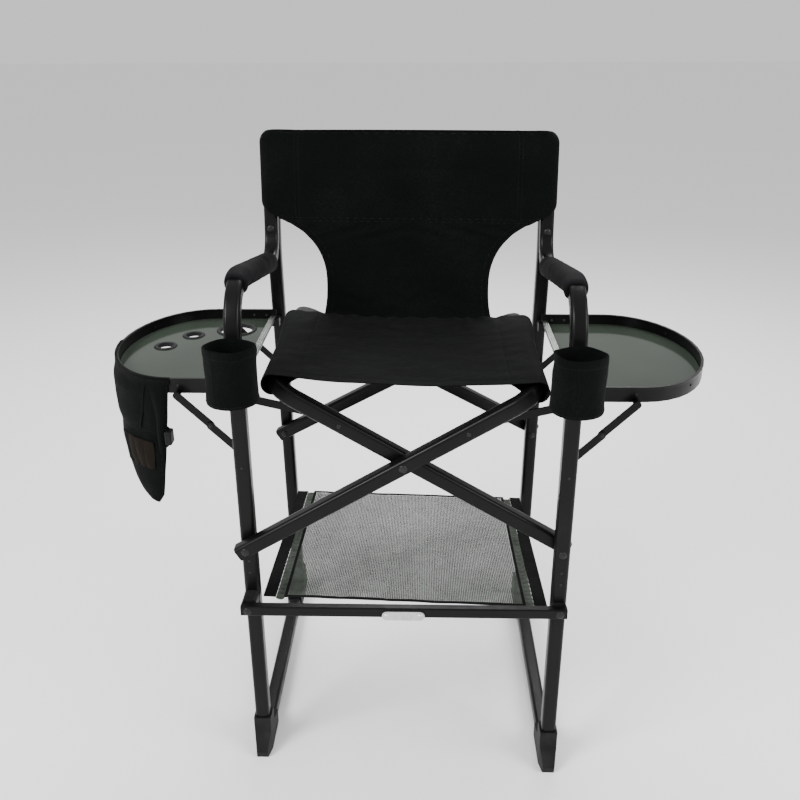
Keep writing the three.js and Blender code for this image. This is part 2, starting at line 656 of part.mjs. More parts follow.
// Flat organiser that hangs outside the first table's rim, over its outer front quarter.
function pouch(name) {
  const [inner, outer] = [RIM_WALL / 2 + 1.2, RIM_WALL / 2 + 11];
  const [a, b] = [TABLE_REACH - TABLE_STRAIGHT, (TABLE_REAR_Y - TABLE_FRONT_Y) / 2];
  const STEPS = 12;
  const [from, to] = [-Math.PI / 2, -0.3];
  const edge = (offset, k) => {
    const t = from + ((to - from) * k) / STEPS;
    const x = TABLE_STRAIGHT + (a + offset) * Math.cos(t);
    return new THREE.Vector2(x, tableMiddleY + (b + offset) * Math.sin(t));
  };
  const steps = [...Array(STEPS + 1).keys()];
  const [there, back] = [steps.map((k) => edge(outer, k)), steps.map((k) => edge(inner, k)).reverse()];
  const plan = new THREE.Shape([...there, ...back]);
  const [top, bottom] = [HINGE_Z + RIM_TOP, 486];
  const slope = new THREE.Shape();
  slope.moveTo(tableMiddleY, bottom - 20);
  slope.lineTo(tableMiddleY, 632);
  slope.lineTo(150, 598);
  slope.lineTo(98, 532);
  slope.lineTo(44, bottom - 20);
  slope.closePath();
  return part(name, cut(extrudeZ(plan, bottom, top), extrudeX(slope, 100, 300)), fabric);
}

// ---- Assembly ----
const chair = new THREE.Group();
chair.position.set(0, -FLOOR_TO_ORIGIN_Y, 0);

// Faces of the legs and tubes that the bolts go through, in side coordinates. The crossed tubes' rear
// arms lean, so bolts through them stand 1.5 mm clear.
const LEAN_CLEAR = 1.5;
const crossRearAtPivot = CROSS_REAR_Y + CROSS_REAR_LEAN * pivotReach;
const crossOuterAtPivot = crossRearAtPivot + crossRearStep + LAYER;
const footrestBack = FOOTREST_Y + FOOTREST_DEPTH / 2 + GAP;
const legFront = -halfTube - GAP;
const LEFT = {
  pivotFront: [-LAYER + legFront, halfTube + GAP],
  pivotRear: [crossRearAtPivot - halfTube - LEAN_CLEAR, rearLegY(PIVOT_Z) + halfTube + 1],
  footrestRoom: [footrestBack, legFront],
  grommets: [[65.8, 332, 31], [140.4, 298.1, 14], [177.6, 237.9, 14]],
};
const RIGHT = {
  pivotFront: [legFront, LAYER + halfTube + GAP],
  pivotRear: [
    rearLegY(PIVOT_Z) - halfTube - 1,
    crossOuterAtPivot + halfTube + LEAN_CLEAR,
    [rearLegY(PIVOT_Z) + halfTube + 1.2, crossOuterAtPivot - halfTube - LEAN_CLEAR],
  ],
  footrestRoom: [footrestBack + LAYER, legFront],
  grommets: [],
};

function sideFrame(word, { pivotFront, pivotRear, footrestRoom, grommets }) {
  const side = new THREE.Group();
  const named = (piece) => piece + "_" + word;
  const bolt = (piece, geometry) => part(named(piece), geometry, darkSteel);
  const postBolt = [postY(POST_BOLT_Z) - halfTube, legTopY(POST_BOLT_Z) + halfTube];
  const rearFace = rearLegY(HINGE_Z) - halfTube - 0.2;
  const railEnds = [TABLE_FRONT_Y - RIM_WALL / 2 - GAP, TABLE_REAR_Y + RIM_WALL / 2 + GAP];
  const rearHead = rearLegY(HINGE_Z) + halfTube + 0.9;
  const braces = [["front", halfTube, 1], ["rear", rearFace, -1]];
  side.add(
    armTube(named("arm_tube")),
    rearLeg(named("rear_leg")),
    frontFoot(named("front_foot")),
    rearFoot(named("rear_foot")),
    armGrip(named("arm_grip")),
    cupHolder(named("cup_holder")),
    bolt("post_bolt", boltY(0, POST_BOLT_Z, postBolt[0] - LEAN_CLEAR, postBolt[1] + LEAN_CLEAR)),
    bolt("pivot_bolt_front", boltY(0, PIVOT_Z, ...pivotFront)),
    bolt("pivot_bolt_rear", boltY(0, PIVOT_Z, ...pivotRear)),
    bolt("hinge_bolt_front", hingeBolt(legFront, [halfTube + STRUT_GAP + LINK + GAP, railEnds[0]])),
    bolt("hinge_bolt_rear", hingeBolt(rearHead, [rearFace - GAP - 0.4, railEnds[1]])),
    rim(named("table_rim")),
    panel(named("table_panel"), grommets),
    tableRail(named("table_rail")),
    strut(named("strut")),
    ...braces.flatMap(([place, face, into]) => [
      braceLower("brace_lower_" + place + "_" + word, face, into),
      braceUpper("brace_upper_" + place + "_" + word, face, into),
    ]),
    ...grommets.map((g, i) => grommet("grommet_" + (i + 1), g)),
    footrestBracket(named("footrest_bracket"), footrestRoom),
  );
  return side;
}

// A bolt from the outer face of a leg through to a bore in the end of the table's rail.
function hingeBolt(headFace, collar) {
  const inwards = Math.sign(collar[1] - headFace);
  const tip = collar[1] + (BORE_DEPTH - 3) * inwards;
  const steps = [
    ...headSteps(0).map(([y, radius]) => [headFace + y * inwards, radius]),
    ...collarSteps(collar),
    [tip, BOLT],
  ];
  return turnedY(0, HINGE_Z, inwards > 0 ? steps : steps.reverse());
}

// Spacer block between the footrest and the leg, with the nut's stud through the leg.
function footrestBracket(name, [y0, y1]) {
  const shape = roundedRectangle(24, 24, 5);
  const spacer = extrudeY(shape, y0, y1, 4).translate(0, 0, FOOTREST_Z);
  const stud = turnedY(0, FOOTREST_Z, [[y1 - 1, BOLT], ...nutSteps(halfTube + GAP)]);
  return part(name, join(spacer, stud), plastic);
}

function footrestRivet(name, x) {
  const face = FOOTREST_Y - FOOTREST_DEPTH / 2 - GAP;
  return part(name, rivetY(x, FOOTREST_Z, face, FOOTREST_Y + FOOTREST_DEPTH / 2), darkSteel);
}

const [left, right] = [sideFrame("left", LEFT), sideFrame("right", RIGHT)];
left.position.x = -HALF_SPACING;
left.scale.x = -1;
left.add(pouch("table_pouch"));
right.position.set(HALF_SPACING, -LAYER, 0);
chair.add(left, right);

for (const [name, [frontY, rearY, turn]] of [["cross_tube_a", CROSS_A], ["cross_tube_b", CROSS_B]]) {
  const holder = new THREE.Group();
  holder.position.z = CROSSING_Z;
  holder.rotation.y = turn;
  holder.add(crossTube(name, frontY, rearY));
  chair.add(holder);
}

const crossRearEnds = [
  CROSS_REAR_Y - halfTube - LEAN_CLEAR,
  CROSS_REAR_Y + crossRearStep + halfTube + LEAN_CLEAR,
  [CROSS_REAR_Y + halfTube + 1.6, CROSS_REAR_Y + crossRearStep - halfTube - 1.6],
];
chair.add(
  part("cross_bolt_front", boltY(0, CROSSING_Z, -LAYER + legFront, halfTube + GAP), darkSteel),
  part("cross_bolt_rear", boltY(0, CROSSING_Z, ...crossRearEnds), darkSteel),
  footrestBar("footrest_bar_left", -1),
  footrestBar("footrest_bar_right", 1),
  footrestRivet("footrest_rivet_left", -HALF_SPACING),
  footrestRivet("footrest_rivet_right", HALF_SPACING),
  footrestLink("footrest_link"),
  linkPin("link_pin_left", -1),
  linkPin("link_pin_right", 1),
  seat("seat_fabric"),
  backrest("backrest_fabric"),
  meshTray("mesh_tray"),
);

export default chair;
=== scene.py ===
"""Looks of a tall folding director chair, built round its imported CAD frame. Metres, +Z up, front at -Y."""

import json
from math import acos, atan, atan2, cos, pi, radians, sin, tau

import bmesh
import bpy
import numpy as np
from mathutils import Matrix, Vector


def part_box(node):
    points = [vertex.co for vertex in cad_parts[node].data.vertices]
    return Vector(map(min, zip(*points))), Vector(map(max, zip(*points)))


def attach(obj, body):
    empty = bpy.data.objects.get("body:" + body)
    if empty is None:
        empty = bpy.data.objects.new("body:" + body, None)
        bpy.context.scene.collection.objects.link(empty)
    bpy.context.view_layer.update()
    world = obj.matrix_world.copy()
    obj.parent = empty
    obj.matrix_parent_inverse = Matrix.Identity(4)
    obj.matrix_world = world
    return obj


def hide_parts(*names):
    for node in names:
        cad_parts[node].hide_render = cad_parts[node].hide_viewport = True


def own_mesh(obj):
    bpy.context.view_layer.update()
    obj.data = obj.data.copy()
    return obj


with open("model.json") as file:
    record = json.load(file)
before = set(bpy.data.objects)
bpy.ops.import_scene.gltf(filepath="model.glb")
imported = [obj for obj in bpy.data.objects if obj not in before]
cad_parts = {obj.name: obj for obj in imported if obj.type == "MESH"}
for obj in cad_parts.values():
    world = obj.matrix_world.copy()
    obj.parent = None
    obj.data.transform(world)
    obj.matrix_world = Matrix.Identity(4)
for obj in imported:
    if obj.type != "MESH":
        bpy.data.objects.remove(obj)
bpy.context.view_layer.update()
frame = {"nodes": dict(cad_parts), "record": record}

# ---- Driving dimensions, from the frame ----
MM = 0.001


def middle(node):
    """Middle of a CAD node's box."""
    low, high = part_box(node)
    return (low + high) / 2


LEG_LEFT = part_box("arm_tube_left")
HALF_SPACING = middle("arm_tube_right").x
TUBE = LEG_LEFT[1].x - LEG_LEFT[0].x
LAYER = LEG_LEFT[0].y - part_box("arm_tube_right")[0].y  # the right side frame is so much nearer the front
LEG_LEFT_Y = LEG_LEFT[0].y + TUBE / 2
LEG_Y = {"left": LEG_LEFT_Y, "right": LEG_LEFT_Y - LAYER}  # middles of the front legs
SIDES = {"left": -1, "right": 1}

SEAT_LOW, SEAT_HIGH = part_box("seat_fabric")
RAIL_REACH = 18.5 * MM  # a rail's middle to the outside of the frame's plain seat
RAIL_RING = 17.3 * MM  # a rail's middle to the outside of the cloth round it
RAIL_X = SEAT_HIGH.x - RAIL_REACH
RAIL_Z = SEAT_HIGH.z - RAIL_REACH
SEAT_SEAM = 166 * MM  # the seat's middle to each of its seams
SEAT_SAG = 11 * MM
SEAT_BULGE = 9 * MM  # how far the slack rear corners stand out

BACK_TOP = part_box("backrest_fabric")[1].z + 4 * MM
BACK_SEAM_Z = BACK_TOP - 168 * MM  # the backrest cover's lower seam
BACK_SEAM = 206 * MM  # the cover's middle to each of its upright seams
POST_TOP_Y = LEG_LEFT[1].y - TUBE / 2  # middle of the left post at its top
POST_LEAN = 0.14  # metres back for each metre up
POST_RING = 17.2 * MM  # a post's middle to the outside of the cloth round it
LEG_TURN_Z = 801 * MM  # where the front leg starts to bend back into the arm

CLOTH = 1.3 * MM  # thickness of the cloth
HEM_TAPE = 1.1 * MM
WEBBING = 1.2 * MM
WRINKLE = 1.3 * MM  # height of a plain wrinkle


def post_y(z):
    """Middle of the left back post at height z."""
    return POST_TOP_Y + POST_LEAN * (z - LEG_LEFT[1].z)


def skew(x, half):
    """How far cloth between the two side frames comes forward at x."""
    return -LAYER * (x + half) / (2 * half)


# ---- Mesh helpers ----
SHEET_CREASE = 55  # degrees; sharper edges of a sheet are drawn hard


def finish_mesh(name, points, faces, material, crease, body):
    """A piece with its faces turned outwards, smooth except at edges sharper than the crease in degrees."""
    mesh = bpy.data.meshes.new(name)
    mesh.from_pydata([tuple(p) for p in points], [], faces)
    turned = bmesh.new()
    turned.from_mesh(mesh)
    bmesh.ops.recalc_face_normals(turned, faces=turned.faces)
    turned.to_mesh(mesh)
    turned.free()
    mesh.polygons.foreach_set("use_smooth", [True] * len(mesh.polygons))
    mesh.set_sharp_from_angle(angle=radians(crease))
    return place(add_to_scene(name, mesh, material), body)


def add_to_scene(name, data, material=None):
    if material:
        data.materials.append(material)
    made = bpy.data.objects.new(name, data)
    bpy.context.scene.collection.objects.link(made)
    return made


def place(made, body):
    """Ties a piece to its body."""
    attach(made, body)
    return made


def normals_of(grid):
    """The unit normal at each point of a rows x columns x 3 grid."""
    across = np.gradient(grid, axis=0)
    along = np.gradient(grid, axis=1)
    normal = np.cross(across, along)
    return normal / np.maximum(np.linalg.norm(normal, axis=2, keepdims=True), 1e-12)


def shell(name, grid, thickness, material, body, slot="fabric", part=slice(None)):
    """A closed thin sheet. grid is rows x columns x 3, its normal faces out, and the thickness goes behind.
    part is the rows to keep, so that sheets cut from one grid meet exactly."""
    back = (grid - normals_of(grid) * thickness)[part]
    grid = grid[part]
    rows, columns = grid.shape[:2]
    points = np.concatenate([grid.reshape(-1, 3), back.reshape(-1, 3)])
    count = rows * columns
    starts = [row * columns + column for row in range(rows - 1) for column in range(columns - 1)]
    faces = [(a, a + columns, a + columns + 1, a + 1) for a in starts]
    faces += [tuple(a + count for a in face[::-1]) for face in faces]
    rim = list(range(columns))
    rim += [i * columns + columns - 1 for i in range(1, rows)]
    rim += [(rows - 1) * columns + j for j in range(columns - 2, -1, -1)]
    rim += [i * columns for i in range(rows - 2, 0, -1)]
    for a, b in zip(rim, rim[1:] + rim[:1]):
        faces.append((a, b, b + count, a + count))
    return finish_mesh(name, points, faces, material, SHEET_CREASE, body)


def loft_faces(rows, columns, base=0):
    """The faces of a closed body whose rings of points follow each other, with its ends filled."""
    faces = []
    for i in range(rows - 1):
        for j in range(columns):
            a, b = base + i * columns + j, base + i * columns + (j + 1) % columns
            faces.append((a, b, b + columns, a + columns))
    last = base + (rows - 1) * columns
    return faces + [tuple(range(base, base + columns))[::-1], tuple(range(last, last + columns))]


def lofted(name, rings, material, crease, body):
    """A closed body from rings of points, all with the same number of points."""
    rings = np.array(rings)
    faces = loft_faces(*rings.shape[:2])
    return finish_mesh(name, rings.reshape(-1, 3), faces, material, crease, body)


RIPPLE_WAVES = 7
RIPPLE_GAIN = 1.6  # brings the waves' mean back to about -1 to 1


def ripples(x, y, wavelength, seed):
    """A smooth random field from about -1 to 1, the same on every run."""
    rng = np.random.default_rng(seed)
    total = 0
    for _ in range(RIPPLE_WAVES):
        angle, phase = rng.uniform(0, tau, 2)
        k = tau / (wavelength * rng.uniform(0.6, 1.6))
        total = total + np.sin(k * (x * cos(angle) + y * sin(angle)) + phase)
    return total / RIPPLE_WAVES * RIPPLE_GAIN


def near(distance, width):
    """1 at distance 0, falling smoothly to 0 at width."""
    return np.clip(1 - np.abs(distance) / width, 0, 1) ** 2


def smooth(t):
    """0 up to t = 0 and 1 from t = 1 on, with an S-shaped rise between."""
    t = np.clip(t, 0, 1)
    return t * t * (3 - 2 * t)


def bezier(points, steps):
    """Points along the cubic curve with these four control points."""
    a, b, c, d = (np.array(p) for p in points)
    t = np.linspace(0, 1, steps)[:, None]
    return a * (1 - t) ** 3 + 3 * b * (1 - t) ** 2 * t + 3 * c * (1 - t) * t**2 + d * t**3


def steps_of(line):
    return np.linalg.norm(np.diff(line, axis=0), axis=1)


def length_of(line):
    return float(steps_of(line).sum())


def along_line(line, at):
    """The points at these distances along the polyline."""
    covered = np.concatenate([[0], np.cumsum(steps_of(line))])
    return np.stack([np.interp(at, covered, column) for column in line.T], axis=-1)


def evenly(line, count):
    """The polyline's points, count of them, the same distance apart."""
    return along_line(line, np.linspace(0, np.cumsum(steps_of(line))[-1], count))


def unit(vectors):
    return vectors / np.linalg.norm(vectors, axis=-1, keepdims=True)


STITCH_PITCH = 4 * MM
STITCH_WIDTH = 0.45 * MM
STITCH_RISE = 0.35 * MM


def stitches(name, lines, body):
    """Rows of stitches, each a slim double pyramid. A line is (points, normals) along a seam, both N x 3."""
    points, faces = [], []
    for line, normal in lines:
        count = max(2, int(length_of(line) / STITCH_PITCH))
        at = evenly(np.concatenate([line, normal], axis=1), count * 4 + 1)
        for k in range(count):
            start, end = at[4 * k], at[4 * k + 3]
            up = (start[3:] + end[3:]) / 2
            side = np.cross(end[:3] - start[:3], up)
            side = side / max(np.linalg.norm(side), 1e-9) * STITCH_WIDTH
            centre = (start[:3] + end[:3]) / 2
            rise = up * STITCH_RISE
            base = len(points)
            points += [start[:3], end[:3], centre + side, centre - side, centre + rise, centre - rise]
            for a, b in ((2, 4), (4, 3), (3, 5), (5, 2)):
                faces += [(base, base + b, base + a), (base + 1, base + a, base + b)]
    return finish_mesh(name, points, faces, THREAD, 180, body)


def row_of(grid, index):
    """A grid's points along one row, with their normals, for stitches along it."""
    return grid[index], normals_of(grid)[index]


def column_of(grid, index):
    """The same along one column."""
    return grid[:, index], normals_of(grid)[:, index]


# ---- Materials ----
def new_material(name, color, roughness, metallic=0.0, **sockets):
    """A material, its node tree and its shader. Other sockets are named with _ for each space."""
    made = bpy.data.materials.new(name)
    made.use_nodes = True
    shader = made.node_tree.nodes["Principled BSDF"]
    shader.inputs["Base Color"].default_value = (*color, 1)
    shader.inputs["Roughness"].default_value = roughness
    shader.inputs["Metallic"].default_value = metallic
    for socket, value in sockets.items():
        shader.inputs[socket.replace("_", " ")].default_value = value
    return made, made.node_tree, shader


def add(tree, kind, **inputs):
    """A new node with its inputs set, named with _ for each space."""
    made = tree.nodes.new(kind)
    for name, value in inputs.items():
        made.inputs[name.replace("_", " ")].default_value = value
    return made


def object_space(tree):
    """The piece's own coordinates, in metres, from one node in each material."""
    return (tree.nodes.get("Texture Coordinate") or add(tree, "ShaderNodeTexCoord")).outputs["Object"]


def noise(tree, scale, detail=4):
    made = add(tree, "ShaderNodeTexNoise", Scale=scale, Detail=detail)
    tree.links.new(object_space(tree), made.inputs["Vector"])
    return made.outputs["Fac"]


def bands(tree, scale, turn=0.0, distortion=0.4):
    """Fine parallel threads, turned about X so that they run across any face of the cloth."""
    turned = add(tree, "ShaderNodeMapping", Rotation=(turn, 0, 0))
    made = add(tree, "ShaderNodeTexWave", Scale=scale, Distortion=distortion)
    made.bands_direction = "X" if turn == 0 else "Y"
    tree.links.new(object_space(tree), turned.inputs["Vector"])
    tree.links.new(turned.outputs["Vector"], made.inputs["Vector"])
    return made.outputs["Fac"]


def roughen(tree, shader, source, low, high):
    """Drives the roughness from low to high by a texture."""
    made = add(tree, "ShaderNodeMapRange", To_Min=low, To_Max=high)
    tree.links.new(source, made.inputs["Value"])
    tree.links.new(made.outputs["Result"], shader.inputs["Roughness"])


def tint(tree, shader, source, color, *stops):
    """Drives the colour by a texture, through stops of (position, how many times the colour)."""
    made = tree.nodes.new("ShaderNodeValToRGB")
    ramp = made.color_ramp
    for k, (position, factor) in enumerate(stops):
        stop = ramp.elements[k] if k < 2 else ramp.elements.new(position)
        stop.position = position
        stop.color = (*(c * factor for c in color), 1)
    tree.links.new(source, made.inputs["Fac"])
    tree.links.new(made.outputs["Color"], shader.inputs["Base Color"])


def combine(tree, a, b, operation):
    """The math node's result for two sources, the second of which may be a plain number."""
    made = tree.nodes.new("ShaderNodeMath")
    made.operation = operation
    tree.links.new(a, made.inputs[0])
    if isinstance(b, float):
        made.inputs[1].default_value = b
    else:
        tree.links.new(b, made.inputs[1])
    return made.outputs["Value"]


def bump(tree, shader, height, distance, strength):
    """Adds relief on top of any that the shader already has."""
    made = add(tree, "ShaderNodeBump", Strength=strength, Distance=distance)
    tree.links.new(height, made.inputs["Height"])
    if shader.inputs["Normal"].is_linked:
        tree.links.new(shader.inputs["Normal"].links[0].from_socket, made.inputs["Normal"])
    tree.links.new(made.outputs["Normal"], shader.inputs["Normal"])


def powder_coat(name, color, roughness):
    """Satin paint with a fine orange peel and a few rubbed, lighter patches."""
    made, tree, shader = new_material(name, color, roughness, Specular_IOR_Level=0.13)
    tint(tree, shader, noise(tree, 14, detail=6), color, (0.3, 1), (0.62, 1.25), (0.78, 2.2))
    roughen(tree, shader, noise(tree, 55), roughness - 0.09, roughness + 0.12)
    bump(tree, shader, noise(tree, 1400, detail=2), 0.15 * MM, 0.25)
    return made


def bare_metal(name, color, roughness):
    """Satin metal with fine drawing lines and a little grime."""
    made, tree, shader = new_material(name, color, roughness, 1.0)
    lines = bands(tree, 900, distortion=1.5)
    tint(tree, shader, noise(tree, 60, detail=5), color, (0.25, 0.7), (0.6, 1))
    roughen(tree, shader, lines, roughness - 0.06, roughness + 0.1)
    bump(tree, shader, lines, 0.05 * MM, 0.3)
    return made


def moulded(name, color, roughness):
    """Moulded plastic with a fine grain and dusty corners."""
    made, tree, shader = new_material(name, color, roughness, Specular_IOR_Level=0.12)
    dust = noise(tree, 38, detail=6)
    tint(tree, shader, dust, color, (0.4, 1), (0.75, 2.0))
    roughen(tree, shader, dust, roughness - 0.05, roughness + 0.15)
    bump(tree, shader, noise(tree, 900, detail=3), 0.2 * MM, 0.35)
    return made


def foam_rubber(name, color):
    """Matt foam with open cells, paler where it is worn."""
    made, tree, shader = new_material(name, color, 0.85, Specular_IOR_Level=0.06)
    cells = add(tree, "ShaderNodeTexVoronoi", Scale=800)
    tree.links.new(object_space(tree), cells.inputs["Vector"])
    tint(tree, shader, noise(tree, 30, detail=6), color, (0.35, 1), (0.7, 1.9))
    bump(tree, shader, cells.outputs["Distance"], 0.3 * MM, 0.5)
    return made


def glossy_panel(name, color):
    """Smooth dark panel with faint scuffs."""
    coat = {"Coat_Weight": 0.05, "Coat_Roughness": 0.08}
    made, tree, shader = new_material(name, color, 0.2, Specular_IOR_Level=0.12, **coat)
    tint(tree, shader, noise(tree, 7, detail=3), color, (0.3, 1), (0.7, 1.25))
    roughen(tree, shader, combine(tree, noise(tree, 260, detail=8), 9.0, "POWER"), 0.1, 0.6)
    bump(tree, shader, noise(tree, 16, detail=2), 0.4 * MM, 0.15)
    return made


THREADS = 330  # wave scale: one thread is 0.95 mm


def woven(name, color, threads=THREADS, lint=2.4):
    """Plain weave: threads both ways, with uneven dye, soft puckers and lint, that many times paler."""
    sheen = {"Sheen_Weight": 0.015, "Sheen_Roughness": 0.5}
    made, tree, shader = new_material(name, color, 0.88, Specular_IOR_Level=0.05, **sheen)
    weave = combine(tree, bands(tree, threads), bands(tree, threads, pi / 4), "MULTIPLY")
    dye = noise(tree, 9, detail=7)
    flecked = combine(tree, dye, noise(tree, 420, detail=2), "MULTIPLY")
    shade = combine(tree, flecked, combine(tree, weave, 0.2, "MULTIPLY"), "ADD")
    tint(tree, shader, shade, color, (0.12, 0.5), (0.34, 1), (0.62, lint))
    roughen(tree, shader, dye, 0.8, 0.97)
    bump(tree, shader, noise(tree, 26, detail=3), 7 * MM, 0.45)
    bump(tree, shader, weave, 0.35 * MM, 0.55)
    return made


PAINT = powder_coat("tube_paint", (0.003, 0.0034, 0.003), 0.3)
DARK_STEEL = powder_coat("dark_steel", (0.014, 0.015, 0.014), 0.26)
LINK_STEEL = bare_metal("link_steel", (0.62, 0.63, 0.61), 0.34)
ALUMINIUM = bare_metal("aluminium", (0.36, 0.38, 0.36), 0.34)
PLASTIC = moulded("plastic", (0.007, 0.007, 0.0075), 0.5)
FOAM = foam_rubber("foam", (0.005, 0.005, 0.0055))
PANEL = glossy_panel("table_top", (0.024, 0.031, 0.024))
FABRIC = woven("fabric", (0.0022, 0.003, 0.0026))
BINDING = woven("binding_tape", (0.003, 0.0034, 0.0032), threads=240)
THREAD = woven("sewing_thread", (0.014, 0.014, 0.015), threads=900)
ELASTIC = woven("pen_slot_mesh", (0.009, 0.0068, 0.005), threads=200, lint=1.6)
STRAND = moulded("mesh_strand", (0.034, 0.04, 0.033), 0.55)

SLOT_MATERIALS = {
    "tube_paint": PAINT,
    "dark_steel": DARK_STEEL,
    "link_steel": LINK_STEEL,
    "aluminium": ALUMINIUM,
    "plastic": PLASTIC,
    "foam": FOAM,
    "table_top": PANEL,
    "fabric": FABRIC,
    "mesh": STRAND,
}


WELD_DISTANCE = 0.02 * MM
HARD_EDGE = radians(38)


def dress_frame():
    """Gives each CAD node its slot's material, and even shading over its facets."""
    slots = {s["node"]: s["material_slot"] for s in frame["record"]["subparts"]}
    for name, node in frame["nodes"].items():
        node.data.materials.clear()
        node.data.materials.append(SLOT_MATERIALS[slots[name]])
        node.data.polygons.foreach_set("use_smooth", [True] * len(node.data.polygons))
        node.modifiers.new("joined_faces", "WELD").merge_threshold = WELD_DISTANCE
        edges = node.modifiers.new("hard_edges", "EDGE_SPLIT")
        edges.split_angle = HARD_EDGE
        edges.use_edge_sharp = False
        node.modifiers.new("even_shading", "WEIGHTED_NORMAL").weight = 90


# ---- Sling cloth: seat and backrest ----
STEPS = 60  # along each part of a section, before it is spaced evenly
LAP_DROP = 1.6 * CLOTH  # how far the cloth's returning end lies under the cloth that it is sewn to


def sling_section(half, ring, sag, seam, count):
    """Cloth over two rails at x = +-half and back under to a seam: x, and height over the rails' middles."""
    x = np.linspace(0, half, STEPS)
    top = np.stack([x, ring - sag * (1 - (x / half) ** 2)], axis=1)
    lap = np.array([seam, ring - sag * (1 - (seam / half) ** 2) - LAP_DROP])
    away = lap - (half, 0)
    tangent = atan2(away[1], -away[0])
    last = -pi + tangent + acos(ring / np.linalg.norm(away))
    turn = np.linspace(pi / 2, last, STEPS)
    loop = np.stack([half + ring * np.cos(turn), ring * np.sin(turn)], axis=1)
    right = np.concatenate([top, loop[1:], lap[None]])
    left = right[::-1] * (-1, 1)
    return evenly(np.concatenate([left[:-1], right]), count)


def on_top(section, at):
    """Index of the section's point on its upper side that is nearest to x = at."""
    first, last = sorted((int(np.argmin(section[:, 0])), int(np.argmax(section[:, 0]))))
    return first + int(np.argmin(np.abs(section[first : last + 1, 0] - at)))


def cut_cover(kind, name, body, grid, section, rail, seam, length, tubes, across, margin):
    """Cuts a cover's grid into the cloth between two tubes at x = +-rail and a sleeve round each, and sews
    it. A sleeve stays with its tube when the cloth between them folds. There is a double seam at x = +-seam
    and a row of stitches across at each share of the length, which ends a margin of points past the seams."""
    left, right = on_top(section, -rail), on_top(section, rail)
    between = slice(left, right + 1)
    cloth = shell(name, grid, CLOTH, FABRIC, body, part=between)
    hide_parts(f"{kind}_fabric")
    sleeves = [f"{kind}_sleeve_left", f"{kind}_sleeve_right"]
    for sleeve_name, part, (tube_body, tube) in zip(sleeves, (slice(0, left + 1), slice(right, None)), tubes):
        sleeve = shell(sleeve_name, grid, CLOTH, FABRIC, tube_body, part=part)
    first, last = on_top(section, -seam), on_top(section, seam)
    lines = [row_of(grid, column + beside) for column in (first, last) for beside in (-1, 1)]
    for share in across:
        line = column_of(grid, int(share * grid.shape[1]))
        lines.append([part[first - margin : last + margin] for part in line])
    sewn = stitches(f"{kind}_stitches", lines, body)
    return [cloth, sewn]


def make_seat():
    """Seat sling with sleeves round both rails, double seams beside them and a hem in front and behind."""
    count, rows, hem = 190, 96, 16 * MM
    section = sling_section(RAIL_X, RAIL_RING, SEAT_SAG, SEAT_SEAM, count)
    along = np.linspace(0, 1, rows)[None]
    x, height = section[:, 0][:, None], section[:, 1][:, None]
    from_middle = np.abs(x)
    from_seam = from_middle - SEAT_SEAM
    front, rear = SEAT_LOW.y + LAYER, SEAT_HIGH.y
    y = front + (rear - front) * along + skew(x, RAIL_X)
    top_side = (height > 0) * smooth((RAIL_X + 4 * MM - from_middle) / (30 * MM))
    pull = smooth((along - 0.72) / 0.28)  # stronger wrinkles at the back
    lift = WRINKLE * 0.5 * ripples(x, y, 0.11, 3) * top_side
    lift += WRINKLE * 1.1 * np.sin(x * 175 + 2.2 * ripples(x, y, 0.09, 5)) * top_side * pull
    lift += 0.5 * WRINKLE * ripples(x * 0.25, y, 0.035, 8) * top_side * near(from_seam, 70 * MM)
    lift -= 1.1 * MM * near(from_seam, 6 * MM) * top_side * (1 + 0.35 * np.sin(y * 700))
    for edge in (front, rear):
        distance = np.abs(y - skew(x, RAIL_X) - edge) - hem
        lift -= 0.7 * MM * near(distance, 5 * MM) * top_side
    bulge = SEAT_BULGE * smooth((along - 0.45) / 0.55) * smooth((from_middle - 175 * MM) / (45 * MM))
    grid = np.stack([x + np.sign(x) * bulge, y, RAIL_Z + height + lift], axis=2)
    tubes = (("x_frame_b", "cross_tube_b"), ("x_frame_a", "cross_tube_a"))
    ends = (RAIL_X, SEAT_SEAM, rear - front)
    return cut_cover("seat", "seat_sling", "seat", grid, section, *ends, tubes, (0.046, 0.954), 20)


def cover_outline(x):
    """Heights over the backrest cover's sections at x, and how far in its rounded corners bring them."""
    rows, corner = 64, 24 * MM
    low = BACK_SEAM_Z + 17 * MM * smooth((np.abs(x) - 226 * MM) / (48 * MM))  # it rises round each post
    z = low + (BACK_TOP - low) * np.linspace(0, 1, rows)[None]
    from_top = np.clip(corner - (BACK_TOP - z), 0, corner)
    from_low = np.clip(corner - (z - low), 0, corner) * 0.9
    return z, corner - np.sqrt(corner**2 - from_top**2) + corner - np.sqrt(corner**2 - from_low**2)


